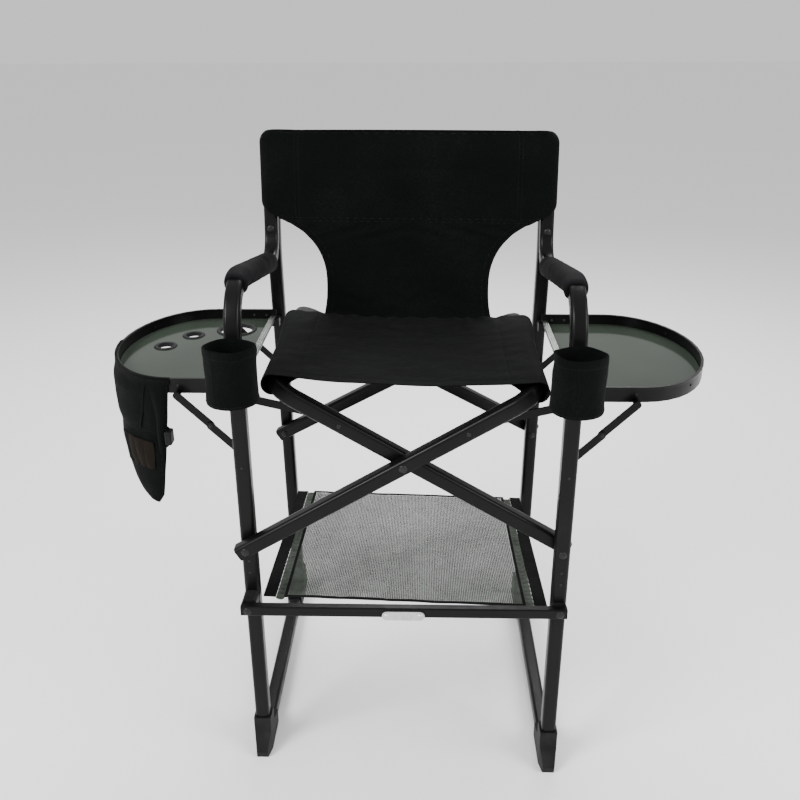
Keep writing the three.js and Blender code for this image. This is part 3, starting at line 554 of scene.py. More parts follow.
def make_back_cover():
    """Backrest cover: a sleeve round each post, a vertical double seam beside each, rounded corners."""
    count = 210
    section = sling_section(HALF_SPACING, POST_RING, 4 * MM, BACK_SEAM, count)
    x, height = section[:, 0][:, None], section[:, 1][:, None]
    from_middle = np.abs(x)
    from_seam = from_middle - BACK_SEAM
    outer = HALF_SPACING + POST_RING
    z, inset = cover_outline(x)
    wide = x * (1 - inset / outer * smooth((from_middle - 150 * MM) / (110 * MM)))
    closing = np.sqrt(np.clip(1 - np.clip((z - BACK_TOP + 8 * MM) / (8.2 * MM), 0, 1) ** 2, 0.03, 1))
    depth = POST_RING + (height - POST_RING) * closing
    front_side = (height > 0) * smooth((outer - from_middle) / (25 * MM))
    inner_side = front_side * smooth(-from_seam / 0.1)
    lift = WRINKLE * 0.8 * ripples(x * 0.45, z, 0.09, 21) * front_side
    lift -= 1.6 * MM * near(z - BACK_SEAM_Z - 98 * MM, 26 * MM) * inner_side
    lift += 0.8 * WRINKLE * ripples(x, z * 0.3, 0.03, 23) * front_side * near(from_seam, 34 * MM)
    lift -= 1.2 * MM * near(from_seam, 6 * MM) * front_side * (1 + 0.4 * np.sin(z * 620))
    y = post_y(z) + skew(x, HALF_SPACING) - depth - lift
    grid = np.stack([wide, y, z], axis=2)
    tubes = (("frame_left", "arm_tube_left"), ("frame_right", "arm_tube_right"))
    ends, across = (HALF_SPACING, BACK_SEAM, BACK_TOP - BACK_SEAM_Z), (0.045, 0.075, 0.965)
    return cut_cover("backrest", "backrest_cover", "frame_left", grid, section, *ends, tubes, across, 10)


WAIST_LENGTH = 174  # mm, from the cover's seam to behind the seat's rear hem


def waist_outline(rows):
    """Half width of the waist and its height, from under the cover's seam down to the seat."""
    upper = bezier([(243, 11), (212, 2), (152, -30), (150.5, -104)], 40) * MM
    lower = bezier([(150.5, -104), (149.5, -130), (151, -148), (158, -WAIST_LENGTH)], 20) * MM
    line = evenly(np.concatenate([upper, lower[1:]]), rows)
    return line[:, 0], BACK_SEAM_Z + line[:, 1]


def make_waist():
    """The narrow cloth from the cover down to the back of the seat, with bound side edges."""
    rows, count, bow = 70, 90, 5 * MM
    half, z = waist_outline(rows)
    x = np.linspace(-1, 1, count)[:, None] * half[None]
    z = z[None] + 0 * x
    drop = (BACK_SEAM_Z - z) / (WAIST_LENGTH * MM)
    top_y = post_y(BACK_SEAM_Z) - POST_RING + CLOTH * 1.6
    bottom_y = SEAT_HIGH.y + 1.5 * MM
    y = top_y + (bottom_y - top_y) * np.clip(drop, -0.1, 1) + bow * np.sin(pi * np.clip(drop, 0, 1))
    y = y + skew(x, HALF_SPACING)
    lift = WRINKLE * 1.1 * ripples(x * 0.6, z, 0.1, 31)
    lift += WRINKLE * 1.3 * np.sin(z * 130 + 3 * ripples(x, z, 0.12, 33)) * smooth(drop * 2.2 - 1.2)
    lift += WRINKLE * np.sin((z + 0.35 * np.abs(x)) * 210) * near(drop - 0.08, 0.2)
    grid = np.stack([x, y - lift, z], axis=2)[:, ::-1]
    waist = shell("backrest_waist", grid, CLOTH, FABRIC, "frame_left")
    bindings = [binding(f"waist_binding_{word}", grid[edge]) for word, edge in (("left", 0), ("right", -1))]
    return [waist, *bindings, stitches("waist_stitches", [row_of(grid, 3), row_of(grid, -4)], "frame_left")]


def binding(name, line):
    """A tape folded over the waist's edge: a slim oval roll along the line, squeezed along Y."""
    radius, flat, sides = 2.2 * MM, 0.55, 10
    along = unit(np.gradient(line, axis=0))
    side = unit(np.cross(along, [0, 1, 0]))
    up = np.cross(side, along)
    turn = np.arange(sides) * tau / sides
    ring = side[:, None] * np.cos(turn)[None, :, None] + flat * up[:, None] * np.sin(turn)[None, :, None]
    return lofted(name, line[:, None] + radius * ring, BINDING, 80, "frame_left")


# ---- Mesh tray ----
TRAY_LOW, TRAY_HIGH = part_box("mesh_tray")
TRAY_FRONT, TRAY_REAR = TRAY_LOW.y + LAYER, TRAY_HIGH.y
TRAY_SAG = 9 * MM
TRAY_FLOOR, TRAY_BAND, TRAY_GATHER = 203 * MM, 208 * MM, 222 * MM  # where floor, inner band and gathers end
TRAY_EDGE = TRAY_HIGH.x
TRAY_END = 7 * MM  # width of the bindings in front and behind
STRAND_PITCH, STRAND_WIDTH, STRAND_THICK = 3.1 * MM, 1.35 * MM, 0.45 * MM
UP = np.array([0.0, 0.0, 1.0])


def tray_surface(x, y, lift=0.0):
    """Points of the tray at x and y, which are arrays that fit each other."""
    share = (y - TRAY_FRONT) / (TRAY_REAR - TRAY_FRONT)
    sag = -TRAY_SAG * np.sin(pi * np.clip(share, 0, 1)) * (1 - (x / TRAY_EDGE) ** 2)
    wave = 1.4 * MM * ripples(x, y * 0.5, 0.12, 41)
    front_z, rear_z = TRAY_HIGH.z, TRAY_LOW.z + 3 * MM
    z = front_z + (rear_z - front_z) * share + np.clip(sag + wave, -TRAY_SAG - 1 * MM, 0) + lift
    return np.stack([x + 0 * y, y + skew(x, HALF_SPACING), z + 0 * x], axis=-1)


def strand(points, faces, line, sideways):
    """Adds one flat strand of the mesh, a four-sided bar along the line."""
    faces += loft_faces(len(line), 4, len(points))
    for p in line:
        for across, up in ((-1, -1), (1, -1), (1, 1), (-1, 1)):
            points.append(p + sideways * across * STRAND_WIDTH / 2 + UP * up * STRAND_THICK / 2)


def make_tray_floor():
    """The see-through floor: strands both ways, those across lying on those along."""
    points, faces = [], []
    start, end = TRAY_FRONT + TRAY_END, TRAY_REAR - TRAY_END
    ys = np.linspace(start, end, 18)
    for x in np.arange(-TRAY_FLOOR, TRAY_FLOOR, STRAND_PITCH):
        strand(points, faces, tray_surface(x + 0 * ys, ys), np.array([1, 0, 0]))
    xs = np.linspace(-TRAY_FLOOR, TRAY_FLOOR, 16)
    for y in np.arange(start, end, STRAND_PITCH):
        strand(points, faces, tray_surface(xs, y + 0 * xs, STRAND_THICK), np.array([0, 1, 0]))
    floor = finish_mesh("tray_mesh_floor", points, faces, STRAND, 40, "frame_left")
    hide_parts("mesh_tray")
    return floor


def tray_strip(name, x0, x1, material, lift, gathers=0.0, columns=6, y0=TRAY_FRONT, y1=TRAY_REAR):
    """A strip of the tray between x0 and x1, with gathers that high."""
    x = np.linspace(min(x0, x1), max(x0, x1), columns)[:, None]
    y = np.linspace(y0, y1, 110)[None]
    grid = tray_surface(x + 0 * y, y + 0 * x, lift)
    middle_share = np.sin(pi * np.linspace(0, 1, columns))[:, None]
    grid[..., 2] += gathers * middle_share * (np.sin(y * 430 + 2 * ripples(x, y, 0.05, 44)) - 0.6)
    return shell(name, grid, HEM_TAPE, material, "frame_left", "mesh")


def make_tray():
    """Mesh floor with a narrow band, gathered mesh and a wide band at each side, and bound ends."""
    floor, sides, lines = make_tray_floor(), [], []
    seam_y = np.linspace(TRAY_FRONT + TRAY_END, TRAY_REAR - TRAY_END, 60)
    for word, side in SIDES.items():
        ends = [side * x for x in (TRAY_FLOOR, TRAY_BAND, TRAY_GATHER, TRAY_EDGE)]
        band = tray_strip(f"tray_band_{word}", *ends[:2], BINDING, 1.2 * MM)
        edge = tray_strip(f"tray_edge_{word}", *ends[2:], BINDING, 1.0 * MM)
        gather = tray_strip(f"tray_gather_{word}", *ends[1:3], STRAND, -1.5 * MM, gathers=2.4 * MM, columns=9)
        sides.append([edge, band, gather])
        for x in (TRAY_GATHER + 2.5 * MM, TRAY_EDGE - 2.5 * MM):
            line = tray_surface(side * x + 0 * seam_y, seam_y, 1.3 * MM)
            lines.append((line, np.tile(UP, (len(line), 1))))
    across = []
    for word, y in (("front", TRAY_FRONT), ("rear", TRAY_REAR - TRAY_END)):
        name, ends = f"tray_binding_{word}", {"y0": y, "y1": y + TRAY_END}
        across.append(tray_strip(name, -TRAY_BAND, TRAY_BAND, BINDING, 1.6 * MM, columns=60, **ends))
    across.append(stitches("tray_stitches", lines, "frame_left"))
    return [floor, *sides[0], *sides[1], *across]


# ---- Organiser on the left table ----
RIM_LOW, RIM_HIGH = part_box("table_rim_left")
RIM_INNER_END = 12.3 * MM  # the rim's inner end, from the hinge's axis outwards
RIM_STRAIGHT = 115 * MM  # hinge's axis to where the rim starts to curve
RIM_A = RIM_HIGH.x + RIM_INNER_END - RIM_LOW.x - RIM_STRAIGHT
RIM_B = (RIM_HIGH.y - RIM_LOW.y) / 2
RIM_MIDDLE_Y = (RIM_HIGH.y + RIM_LOW.y) / 2
POUCH_TOP = RIM_HIGH.z + 1.2 * MM
POUCH_DEEP = 0.975 * (POUCH_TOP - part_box("table_pouch")[0].z)
POUCH_WIDE = 0.2  # along the rim, at its top
HEM_DEEP = 12 * MM


def rim_point(t, out, z):
    """A point beside the left table's rim: t is the angle on its half ellipse, out is metres outside it."""
    x = -HALF_SPACING - RIM_STRAIGHT - (RIM_A + out) * np.cos(t)
    y = RIM_MIDDLE_Y + (RIM_B + out) * np.sin(t)
    return np.stack([x + 0 * z, y + 0 * z, z + 0 * x], axis=-1)


def pouch_edges(v):
    """The organiser's two side edges, as angles on the rim, at depth v from 0 at its top to 1 at its foot."""
    depths = [0, 0.1, 0.2, 0.3, 0.45, 0.58, 0.72, 0.85, 0.94, 1]
    rear = np.interp(v, depths, [-0.04, -0.2, -0.36, -0.47, -0.52, -0.57, -0.7, -0.86, -1.0, -1.18])
    front = np.interp(v, [0, 0.3, 0.7, 0.93, 1], [-1.56, -1.5, -1.4, -1.33, -1.25])
    return rear, front


def pouch_grid(u0, u1, v0, v1, rise, seed, rows=44, count=44):
    """Part of the organiser: u from 0 at its rear edge to 1 at its front edge, rise is how far it stands out.
    u0 and u1 are single numbers, or (at its top, at its foot) for a slanting edge."""
    v = np.linspace(v0, v1, rows)[None]
    u0, u1 = (np.interp(v, (v0, v1), np.broadcast_to(edge, 2)) for edge in (u0, u1))
    u = u1 + (u0 - u1) * np.linspace(0, 1, count)[:, None]
    rear, front = pouch_edges(v)
    t = rear + (front - rear) * u
    z = POUCH_TOP - v * POUCH_DEEP
    bulge = rise * np.sin(pi * np.clip((u - u0) / (u1 - u0), 0.04, 0.96)) ** 0.6
    from_top, from_foot = (v - v0) / (v1 - v0), (v1 - v) / (v1 - v0)
    bulge = bulge * smooth(from_top * 3.5 + 0.12) * (0.55 + 0.45 * smooth(from_foot * 4))
    out = 1.6 * MM + bulge + WRINKLE * 0.9 * ripples(u * 0.2, v * 0.24, 0.07, seed) * smooth(v * 5)
    return rim_point(t, out, z)


def pouch_hem():
    """The tape over the organiser's top edge: down its outside, over the rim and down its inside."""
    t = np.linspace(-0.02, -1.57, 60)
    foot, crown = POUCH_TOP - HEM_DEEP, POUCH_TOP + 0 * t
    outside, inside = rim_point(t, 2.2 * MM, foot), rim_point(t, -3.6 * MM, foot)
    crown_out, crown_in = rim_point(t, 1.4 * MM, crown), rim_point(t, -3.0 * MM, crown)
    return np.stack([outside, (outside + crown_out) / 2, crown_out, crown_in, inside], axis=1)


def make_pouch():
    """Organiser that wraps over the rim: back, two flaps with a slit between, lower pocket, pen slots."""
    made = []

    def panel(name, grid, material=FABRIC, thickness=CLOTH):
        made.append(shell(f"pouch_{name}", grid, thickness, material, "table_left"))

    panel("back", pouch_grid(0, 1, 0.0, 1, 0.5 * MM, 51, rows=60, count=60))
    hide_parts("table_pouch")
    pocket = pouch_grid(0.02, 0.985, 0.4, 0.985, 6.2 * MM, 52)
    flap_rear = pouch_grid(0.0, (0.8, 0.6), 0.045, 0.45, 7.6 * MM, 53)
    flap_front = pouch_grid((0.81, 0.9), 1.0, 0.045, 0.6, 5.6 * MM, 54)
    panel("pocket", pocket)
    panel("flap_rear", flap_rear)
    panel("flap_front", flap_front)
    for k, start in enumerate((0.2, 0.36, 0.52, 0.68)):
        piece = pouch_grid(start, start + 0.15, 0.5, 0.71, 1.8 * MM, 56 + k, rows=14, count=10)
        in_front_of_pocket = piece + normals_of(piece) * 6.4 * MM
        panel(f"pen_slot_{k + 1}", in_front_of_pocket, FABRIC if k < 1 else ELASTIC)
    hem = pouch_hem()
    panel("hem", hem, BINDING, 0.8 * MM)
    lines = [column_of(pocket, 2), column_of(flap_rear, -3), column_of(flap_front, -3)]
    lines += [row_of(flap_rear, 2), row_of(flap_rear, -3), row_of(flap_front, 2)]
    lines += [row_of(pocket, 2), row_of(pocket, -3), column_of(hem, 1)]
    made.append(stitches("pouch_stitches", lines, "table_left"))
    size, area = (POUCH_WIDE, POUCH_DEEP), cloth_area(pouch_grid(0, 1, 0.0, 1, 0, 51))
    return made + make_strap()


def cloth_area(grid):
    across = np.diff(grid, axis=0)[:, :-1]
    along = np.diff(grid, axis=1)[:-1]
    return float(np.linalg.norm(np.cross(across, along), axis=2).sum())


def make_strap():
    """A short webbing strap with a side-release buckle at the organiser's front edge."""
    root = rim_point(np.array(-1.43), 3 * MM, np.array(POUCH_TOP - 0.39 * POUCH_DEEP))

    def beside(x, y, z):
        return root + (x * MM, y * MM, z * MM)

    upper = bezier([root, beside(4, 1, 6), beside(13, 0, 2), beside(13, 0, -16)], 16)
    lower = bezier([upper[-1], beside(13, 0, -24), beside(6, 0, -32), beside(0, 1, -30)], 14)
    line = np.concatenate([upper, lower[1:]])
    half_width = np.array([0, 7 * MM, 0])
    grid = np.stack([line - half_width, line, line + half_width], axis=1)
    size = (11 * MM, 20 * MM, 24 * MM)
    return [
        shell("pouch_strap", grid, WEBBING, BINDING, "table_left"),
        rounded_block("pouch_buckle", beside(9, 0, -13), size, 2.5 * MM, PLASTIC, "table_left"),
    ]


def rounded_block(name, centre, size, radius, material, body):
    """A block with all its edges rounded."""
    mesh = bpy.data.meshes.new(name)
    signs = [(sx, sy, sz) for sx in (-1, 1) for sy in (-1, 1) for sz in (-1, 1)]
    faces = [(0, 1, 3, 2), (4, 6, 7, 5), (0, 4, 5, 1), (2, 3, 7, 6), (0, 2, 6, 4), (1, 5, 7, 3)]
    mesh.from_pydata([tuple(np.array(size) / 2 * sign + centre) for sign in signs], [], faces)
    made = add_to_scene(name, mesh, material)
    edges = made.modifiers.new("rounded", "BEVEL")
    edges.width, edges.segments = radius, 4
    return place(made, body)


# ---- Cup holders ----
CUP_RADIUS = 41 * MM
CUP_OUTER = (  # share of the radius and height in mm, from the middle of the bottom up to the rolled hem
    (0.0, 4), (0.5, 0.2), (0.86, 0), (0.955, 2), (0.972, 6), (0.955, 10), (0.935, 22), (0.928, 42),
    (0.935, 62), (0.95, 76), (0.957, 79), (0.968, 80), (0.974, 82), (0.976, 88), (0.97, 91.5), (0.955, 92.6),
)
CUP_INNER = ((0.93, 91), (0.925, 84), (0.905, 70), (0.89, 40), (0.89, 10), (0.8, 5.5), (0.4, 5), (0.02, 5))
CUP_STITCHED = (10, 4)  # rings of CUP_OUTER with a row of stitches
CUP_DENT = {"left": 1.3 * MM, "right": 2.0 * MM}
CUP_SEAM_ANGLE = 4.1
STRAP_LOW, STRAP_HIGH = 38 * MM, 70 * MM  # the strap's edges, above the cup's bottom


def make_cup_holder(word, side):
    """A sewn fabric cup with a rolled hem, a side seam and a strap round the leg."""
    low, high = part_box(f"cup_holder_{word}")
    body, middle_x, middle_y = f"frame_{word}", side * (HALF_SPACING - 6 * MM), low.y + CUP_RADIUS
    turn = np.arange(96) * tau / 96
    rings = []
    for k, (share, height) in enumerate(CUP_OUTER + CUP_INNER):
        outside = k < len(CUP_OUTER)
        r = max(share, 0.02) * CUP_RADIUS
        free = smooth(height / 20) * (1 if outside else 0.7)
        x, y = np.cos(turn) * CUP_RADIUS, np.sin(turn) * CUP_RADIUS + height * MM
        dent = CUP_DENT[word] * ripples(x, y, 0.07, 61 + side) * free
        past_seam = (turn - CUP_SEAM_ANGLE) % tau
        seam = 0.9 * MM * np.exp(-((past_seam / 0.035) ** 2)) * (outside and k > 0)
        lean = -0.9 * MM * smooth((height - 50) / 40) * np.cos(2 * turn)
        r = np.minimum(r + (dent + lean + seam) * (share > 0.3), CUP_RADIUS)
        droop = smooth((height - 45) / 48) * (3.5 * (1 + np.sin(turn)) + 1.2 * np.sin(3 * turn + side)) * MM
        z = np.minimum(low.z + height * MM - droop, high.z)
        rings.append(np.stack([middle_x + r * np.cos(turn), middle_y + r * np.sin(turn), z], axis=1))
    cup = lofted(f"cup_{word}", rings, FABRIC, 60, body)
    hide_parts(f"cup_holder_{word}")
    lines = []
    for k in CUP_STITCHED:
        closed = np.concatenate([rings[k], rings[k][:1]])
        outward = (closed - (middle_x, middle_y, 0)) * (1, 1, 0)
        lines.append((closed, unit(outward)))
    stitches(f"cup_stitches_{word}", lines, body)
    make_cup_strap(word, body, side * HALF_SPACING, LEG_Y[word], low.z + STRAP_LOW, low.z + STRAP_HIGH)


def make_cup_strap(word, body, x, y, z0, z1):
    """A wide hook-and-loop strap round the leg, its end lapped over on the outside."""
    half, corner = TUBE / 2 + 1.6 * MM, 7 * MM
    loop = []
    for quarter, signs in enumerate(((1, 1), (-1, 1), (-1, -1), (1, -1))):
        for angle in np.radians(np.linspace(0, 90, 7) + 90 * quarter):
            round_corner = corner * np.array([cos(angle), sin(angle)])
            loop.append((x, y) + (np.array(signs) * (half - corner) + round_corner))
    loop = evenly(np.array(loop + loop[:1]), 80)[:, None]
    z = np.linspace(z0, z1, 12)
    wobble = 0.3 * MM * ripples(loop[..., 0] * 3, z[None], 0.05, 71)[..., None]
    outward = unit(loop - (x, y))
    grid = np.concatenate([loop + outward * wobble, np.broadcast_to(z[:, None], (80, 12, 1))], axis=2)
    shell(f"cup_strap_{word}", grid, WEBBING, BINDING, body)
    lapped = slice(14, 34)
    out = np.concatenate([outward[lapped], np.zeros((20, 1, 1))], axis=2)
    shell(f"cup_strap_end_{word}", grid[lapped] + out * 1.3 * MM, HEM_TAPE, BINDING, body)


# ---- Foam grips ----
ARM_SLOPE = atan(0.1673)
GRIP_RADIUS = 19.8 * MM
GRIP_END = 19 * MM  # the grip's middle at its rear end, from the low rear corner of its box
GRIP_ENDS = ((0, 0.70), (0, 0.86), (0.6, 0.94), (2, 0.985), (5, 1.0))  # mm from an end, share of the radius
ARM_BEND = 75 * MM  # radius in which the front leg turns back into the arm
GRIP_PAST_BEND = radians(29)  # how far round that bend the grip reaches


def grip_path(word):
    """The grip's middle line, from its front end round the bend and straight back along the arm."""
    low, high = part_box(f"arm_grip_{word}")
    x = (low.x + high.x) / 2
    up_slope = np.array([0, sin(ARM_SLOPE), cos(ARM_SLOPE)])
    rear = np.array([x, high.y - GRIP_END * up_slope[1], low.z + GRIP_END * up_slope[2]])
    centre = np.array([x, LEG_Y[word] + ARM_BEND, LEG_TURN_Z])
    straight = centre + ARM_BEND * up_slope
    angles = np.linspace(pi / 2 - ARM_SLOPE + GRIP_PAST_BEND, pi / 2 - ARM_SLOPE, 16)
    arc = [centre + ARM_BEND * np.array([0, cos(a), sin(a)]) for a in angles]
    return np.concatenate([arc, straight + (rear - straight) * np.linspace(0, 1, 40)[1:, None]])


def make_grip(word):
    """Foam sleeve on the arm: soft ends, a slack surface and a few creases where the arm bends away."""
    path = grip_path(word)
    length, step = length_of(path), 1 * MM
    turn = np.arange(48) * tau / 48
    along_end = np.array([at for at, _ in GRIP_ENDS])
    from_front = np.concatenate([along_end, np.linspace(9, length / MM - 9, 80)]) * MM
    stations = np.concatenate([from_front, length - along_end[::-1] * MM])
    end_shares = [share for _, share in GRIP_ENDS]
    shares = end_shares + [1.0] * 80 + end_shares[::-1]
    rings = []
    for s, share in zip(stations, shares):
        start = min(s, length - step)
        here, ahead = along_line(path, np.array([start, start + step]))
        along = unit(ahead - here)
        up = np.cross(along, [1, 0, 0])
        up = up * np.sign(up[2])
        here = here + along * max(0, s - length + step)
        slack = 0.35 * MM * ripples(s + 0 * turn, turn * GRIP_RADIUS, 0.05, 81)
        slack = slack * min(1, min(s, length - s) / (12 * MM))
        to_rear = length - s
        crease = -0.5 * MM * near(to_rear - 24 * MM, 5 * MM) - 0.3 * MM * near(to_rear - 38 * MM, 4 * MM)
        pinch = -0.8 * MM * near(s - 40 * MM, 6 * MM) * (np.sin(turn) < 0)
        squarish = -0.5 * MM * np.cos(4 * turn)
        relief = (slack + crease + pinch + squarish - 0.7 * MM) * (share > 0.9)
        r = np.minimum(GRIP_RADIUS * share + relief, GRIP_RADIUS)
        ring = np.cos(turn)[:, None] * np.array([1.0, 0, 0]) + np.sin(turn)[:, None] * up
        rings.append(here + ring * r[:, None])
    grip = lofted(f"foam_grip_{word}", rings, FOAM, 70, f"frame_{word}")
    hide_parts(f"arm_grip_{word}")


# ---- Rivet heads, table rails and footrest details ----
HEAD_PROFILE = ((1.0, -0.3), (1.0, 0.15), (0.93, 0.5), (0.7, 0.83), (0.35, 0.98), (0.05, 1.0))
HEAD_SIDES = 14
FLAT_HEAD = 0.9 * MM


def dome(name, at, out, radius, body, height=None):
    """A rivet's domed head that stands on a face at the point, facing out."""
    height = height or radius * 0.55
    turn = Vector(out).normalized().to_track_quat("Z", "Y").to_matrix()
    rings = []
    for share, rise in HEAD_PROFILE:
        angles = [k * tau / HEAD_SIDES for k in range(HEAD_SIDES)]
        flat = [(radius * share * cos(angle), radius * share * sin(angle)) for angle in angles]
        rings.append([Vector(at) + turn @ Vector((x, y, rise * height)) for x, y in flat])
    return lofted(name, rings, DARK_STEEL, 70, body)


RIM_RIVET_DROP = 12 * MM  # below the rim's top
ARC_RIVETS = ((0.62, True), (1.15, True), (-0.02, False), (0.08, False), (-0.9, False))  # angle, if inside
RAIL_RIVETS = (8, 32)  # mm outwards from the rim's inner ends, inside it
SPLICE_RIVET = 90  # mm, outside it


def make_rim_rivets(word, side, shift):
    """Rivets through each table's rim: into the rail's ends, along the arc, and at the splice."""
    body, z = f"table_{word}", RIM_HIGH.z - RIM_RIVET_DROP
    for k, (t, inner) in enumerate(ARC_RIVETS):
        under_pouch = word == "left" and t < 0.05
        if under_pouch:
            continue
        at = rim_point(np.array(t), -3.1 * MM if inner else -0.8 * MM, np.array(z))
        normal = np.array([-cos(t) * RIM_B, sin(t) * RIM_A, 0.0]) * (-1 if inner else 1)
        mirror = (-side, 1, 1)
        dome(f"rim_rivet_{word}_{k + 1}", at * mirror + (0, shift, 0), normal * mirror, 2.3 * MM, body)
    front, rear = RIM_LOW.y + shift, RIM_HIGH.y + shift
    straight = [(out, front + 3.8 * MM, 1) for out in RAIL_RIVETS]
    straight += [(out, rear - 3.8 * MM, -1) for out in RAIL_RIVETS]
    straight += [(SPLICE_RIVET, front + 0.8 * MM, -1), (SPLICE_RIVET, rear - 0.8 * MM, 1)]
    for k, (out, y, towards) in enumerate(straight):
        at = (side * (HALF_SPACING + (out + 12) * MM), y, z)
        dome(f"rail_rivet_{word}_{k + 1}", at, (0, towards, 0), 2.6 * MM, body)


RAIL_OUTER = 12 * MM  # from the hinge's axis to the rail's outer face
RAIL_WIDE, RAIL_DEEP = 10 * MM, 4 * MM
GROOVES = (2 * MM, 6 * MM)  # where each groove starts, from the rail's outer face
GROOVE_WIDE, GROOVE_DEEP, GROOVE_SIDE = 1.8 * MM, 1.2 * MM, 0.3 * MM
KNUCKLE = (17 * MM, 14 * MM, 16 * MM)  # the block at each end of the rail that holds the hinge's bolt
RAIL_EDGE = (1.2 * MM, 4.4 * MM)  # width and height of the dark strip along the rail's inner side
RIM_END = (12 * MM, 3 * MM)  # the rim's straight end beyond the rail: length and thickness


def make_rail(word, side, shift):
    """The table's bare metal rail with two grooves, its dark inner edge and knuckles, and the rim's ends."""
    low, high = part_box(f"table_rail_{word}")
    top, body = high.z, f"table_{word}"
    profile = [(0, top - RAIL_DEEP), (0, top)]
    for start in GROOVES:
        profile += [(start, top), (start + GROOVE_SIDE, top - GROOVE_DEEP)]
        profile += [(start + GROOVE_WIDE - GROOVE_SIDE, top - GROOVE_DEEP), (start + GROOVE_WIDE, top)]
    profile += [(RAIL_WIDE, top), (RAIL_WIDE, top - RAIL_DEEP)]
    stations = np.linspace(low.y, high.y, 9)
    rings = [[(side * (HALF_SPACING + RAIL_OUTER - d), y, z) for d, z in profile] for y in stations]
    rail = lofted(f"rail_{word}", rings, ALUMINIUM, 25, body)
    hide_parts(f"table_rail_{word}")
    edge = (RAIL_EDGE[0], high.y - low.y, RAIL_EDGE[1])
    edge_at = (RAIL_OUTER - RAIL_WIDE - 0.2 * MM, (low.y + high.y) / 2, top - 2.6 * MM)
    blocks = [("rail_edge", edge_at, edge)]
    for row, y in (("front", low.y + KNUCKLE[1] / 2), ("rear", high.y - KNUCKLE[1] / 2)):
        blocks.append((f"rail_knuckle_{row}", (2.5 * MM, y, (low.z + high.z) / 2 - 1 * MM), KNUCKLE))
    end = (*RIM_END, RIM_HIGH.z - RIM_LOW.z)
    for row, y in (("front", RIM_LOW.y + 1.5 * MM), ("rear", RIM_HIGH.y - 1.5 * MM)):
        blocks.append((f"rim_end_{row}", (6.5 * MM, y + shift, (RIM_LOW.z + RIM_HIGH.z) / 2), end))
    for name, (out, y, z), size in blocks:
        centre = (side * (HALF_SPACING + out), y, z)
        rounded_block(f"{name}_{word}", centre, size, 0.4 * MM, PAINT, body)


LINK_PIN_X, LINK_PIN_Z = 28 * MM, 336 * MM
# painted shade: a thin dark block that fills the gap between the footrest bars, where there is no real part
GAP_SHADE_FILLER_SIZE = (0.7 * MM, 13.5 * MM, 16.5 * MM)


def make_footrest_details():
    """Dark pin heads on the centre link, and a thin dark block in the gap between the two bars: painted shade
    where the gap shows only shade.
    """
    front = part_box("footrest_link")[0].y
    for word, side in SIDES.items():
        at = (side * LINK_PIN_X, front, LINK_PIN_Z)
        dome(f"link_pin_head_{word}", at, (0, -1, 0), 3 * MM, "footrest_link", FLAT_HEAD)
    bar = middle("footrest_bar_left")
    at = (0, bar.y, bar.z + 0.2 * MM)
    # painted shade: the dark block in the gap between the bars stands in for the shade there
    rounded_block("footrest_gap_shade_filler", at, GAP_SHADE_FILLER_SIZE, 0.2 * MM, PLASTIC, "footrest_left")


STRUT_RIVET_X, STRUT_RIVET_Z = 101.5 * MM, 661 * MM
BRACE_KNUCKLE_OUT, BRACE_KNUCKLE_Z = 51 * MM, 647.5 * MM
BRACE_FOOT_Z = 596.5 * MM
LEG_RIVET_HEIGHTS = (387 * MM, 410 * MM, 586 * MM)


def make_strut_rivets():
    """Rivet heads where the struts meet the crossed tubes, at the braces' knuckles and at their feet."""
    for word, side, crossed in (("left", -1, "b"), ("right", 1, "a")):
        at = (side * STRUT_RIVET_X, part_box(f"cross_tube_{crossed}")[0].y, STRUT_RIVET_Z)
        dome(f"strut_rivet_{word}", at, (0, -1, 0), 4 * MM, f"x_frame_{crossed}")
        for row, out in (("front", -1), ("rear", 1)):
            low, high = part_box(f"brace_lower_{row}_{word}")
            face, body = low.y if out < 0 else high.y, f"brace_lower_{word}"
            at = (side * (HALF_SPACING + BRACE_KNUCKLE_OUT), face, BRACE_KNUCKLE_Z)
            dome(f"knuckle_rivet_{row}_{word}", at, (0, out, 0), 3.6 * MM, body, FLAT_HEAD)
            at = (side * HALF_SPACING, face, BRACE_FOOT_Z)
            dome(f"brace_rivet_{row}_{word}", at, (0, out, 0), 3.6 * MM, body, FLAT_HEAD)


def make_leg_rivets():
    """Small rivets down the front legs, where the tray's bands and the spacers are fixed."""
    for word, side in SIDES.items():
        for k, z in enumerate(LEG_RIVET_HEIGHTS):
            at = (side * HALF_SPACING, LEG_Y[word] - TUBE / 2, z)
            dome(f"leg_rivet_{word}_{k + 1}", at, (0, -1, 0), 2.4 * MM, f"frame_{word}")


# ---- Camera, light and floor ----
CAMERA_AT = (0.0271, -1.4658, 1.2443)
CAMERA_PITCH, CAMERA_YAW, CAMERA_ROLL = 23.14, 1.47, -0.23  # degrees
LENS, SENSOR = 39.8, 36
LIGHT_AIM = (0, 0, 0.6)
FLOOR_REACH = 30
FLOOR_COLOR = (0.93, 0.93, 0.93)
SKY_STRENGTH = 0.85


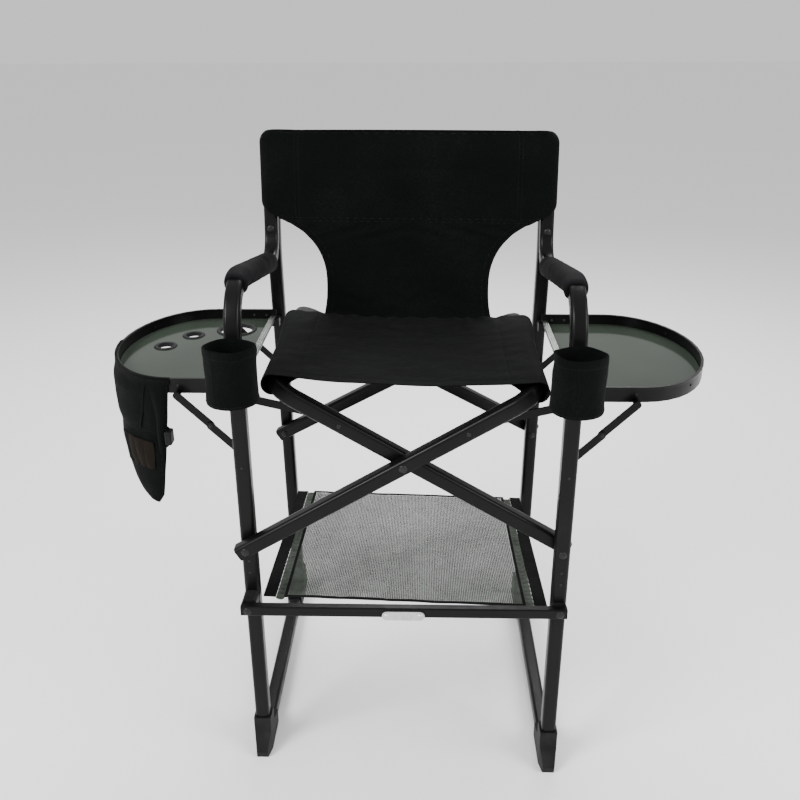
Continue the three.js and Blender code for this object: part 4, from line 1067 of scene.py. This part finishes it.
def make_camera():
    """The photo's camera, as fitted to it."""
    pitch, yaw, roll = (radians(angle) for angle in (CAMERA_PITCH, CAMERA_YAW, CAMERA_ROLL))
    right = Vector((cos(yaw), sin(yaw), 0))
    ahead = Vector((-sin(yaw) * cos(pitch), cos(yaw) * cos(pitch), -sin(pitch)))
    up = right.cross(ahead)
    tilted_right = cos(roll) * right + sin(roll) * up
    tilted_up = cos(roll) * up - sin(roll) * right
    turn = Matrix((tilted_right, tilted_up, -ahead)).transposed()
    data = bpy.data.cameras.new("camera")
    data.lens, data.sensor_width = LENS, SENSOR
    camera = add_to_scene("camera", data)
    camera.matrix_world = Matrix.Translation(CAMERA_AT) @ turn.to_4x4()
    bpy.context.scene.camera = camera


def make_light(name, at, size, power):
    data = bpy.data.lights.new(name, "AREA")
    data.shape, data.size, data.energy = "SQUARE", size, power
    aim = Vector(LIGHT_AIM) - Vector(at)
    turn = aim.to_track_quat("-Z", "Y").to_matrix()
    add_to_scene(name, data).matrix_world = Matrix.Translation(at) @ turn.to_4x4()


def make_studio():
    """A white sky, three soft lights (place, size in metres, watts) and a pale floor."""
    world = bpy.data.worlds.new("studio")
    bpy.context.scene.world = world
    world.use_nodes = True
    background = world.node_tree.nodes["Background"]
    background.inputs["Color"].default_value = (1, 1, 1, 1)
    background.inputs["Strength"].default_value = SKY_STRENGTH
    make_light("key_left", (-2.2, -1.8, 2.6), 1.4, 130)
    make_light("fill_right", (2.4, -1.2, 2.0), 1.6, 70)
    make_light("top_rear", (0.2, 1.8, 2.6), 1.6, 80)
    mesh = bpy.data.meshes.new("floor")
    corners = [(x * FLOOR_REACH, y * FLOOR_REACH, 0) for x, y in ((-1, -1), (1, -1), (1, 1), (-1, 1))]
    mesh.from_pydata(corners, [], [(0, 1, 2, 3)])
    pale = new_material("pale_floor", FLOOR_COLOR, 0.9, Specular_IOR_Level=0.1)[0]
    add_to_scene("floor", mesh, pale)


make_camera()
make_studio()
dress_frame()
seat_pieces = make_seat()
cover_pieces = make_back_cover()
inner_pieces = make_waist() + make_tray()
pouch_pieces = make_pouch()
for word, side in SIDES.items():
    make_cup_holder(word, side)
    make_grip(word)
for make in (make_rim_rivets, make_rail):
    make("left", -1, 0)
    make("right", 1, -LAYER)
make_footrest_details()
make_strut_rivets()
make_leg_rivets()

# ---- The cloth pieces get meshes of their own ----
for piece in seat_pieces:
    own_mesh(piece)
for piece in cover_pieces:
    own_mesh(piece)
for piece in inner_pieces:  # the waist and the tray, which lie between the two side frames' inner faces
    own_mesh(piece)
for piece in pouch_pieces:
    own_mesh(piece)
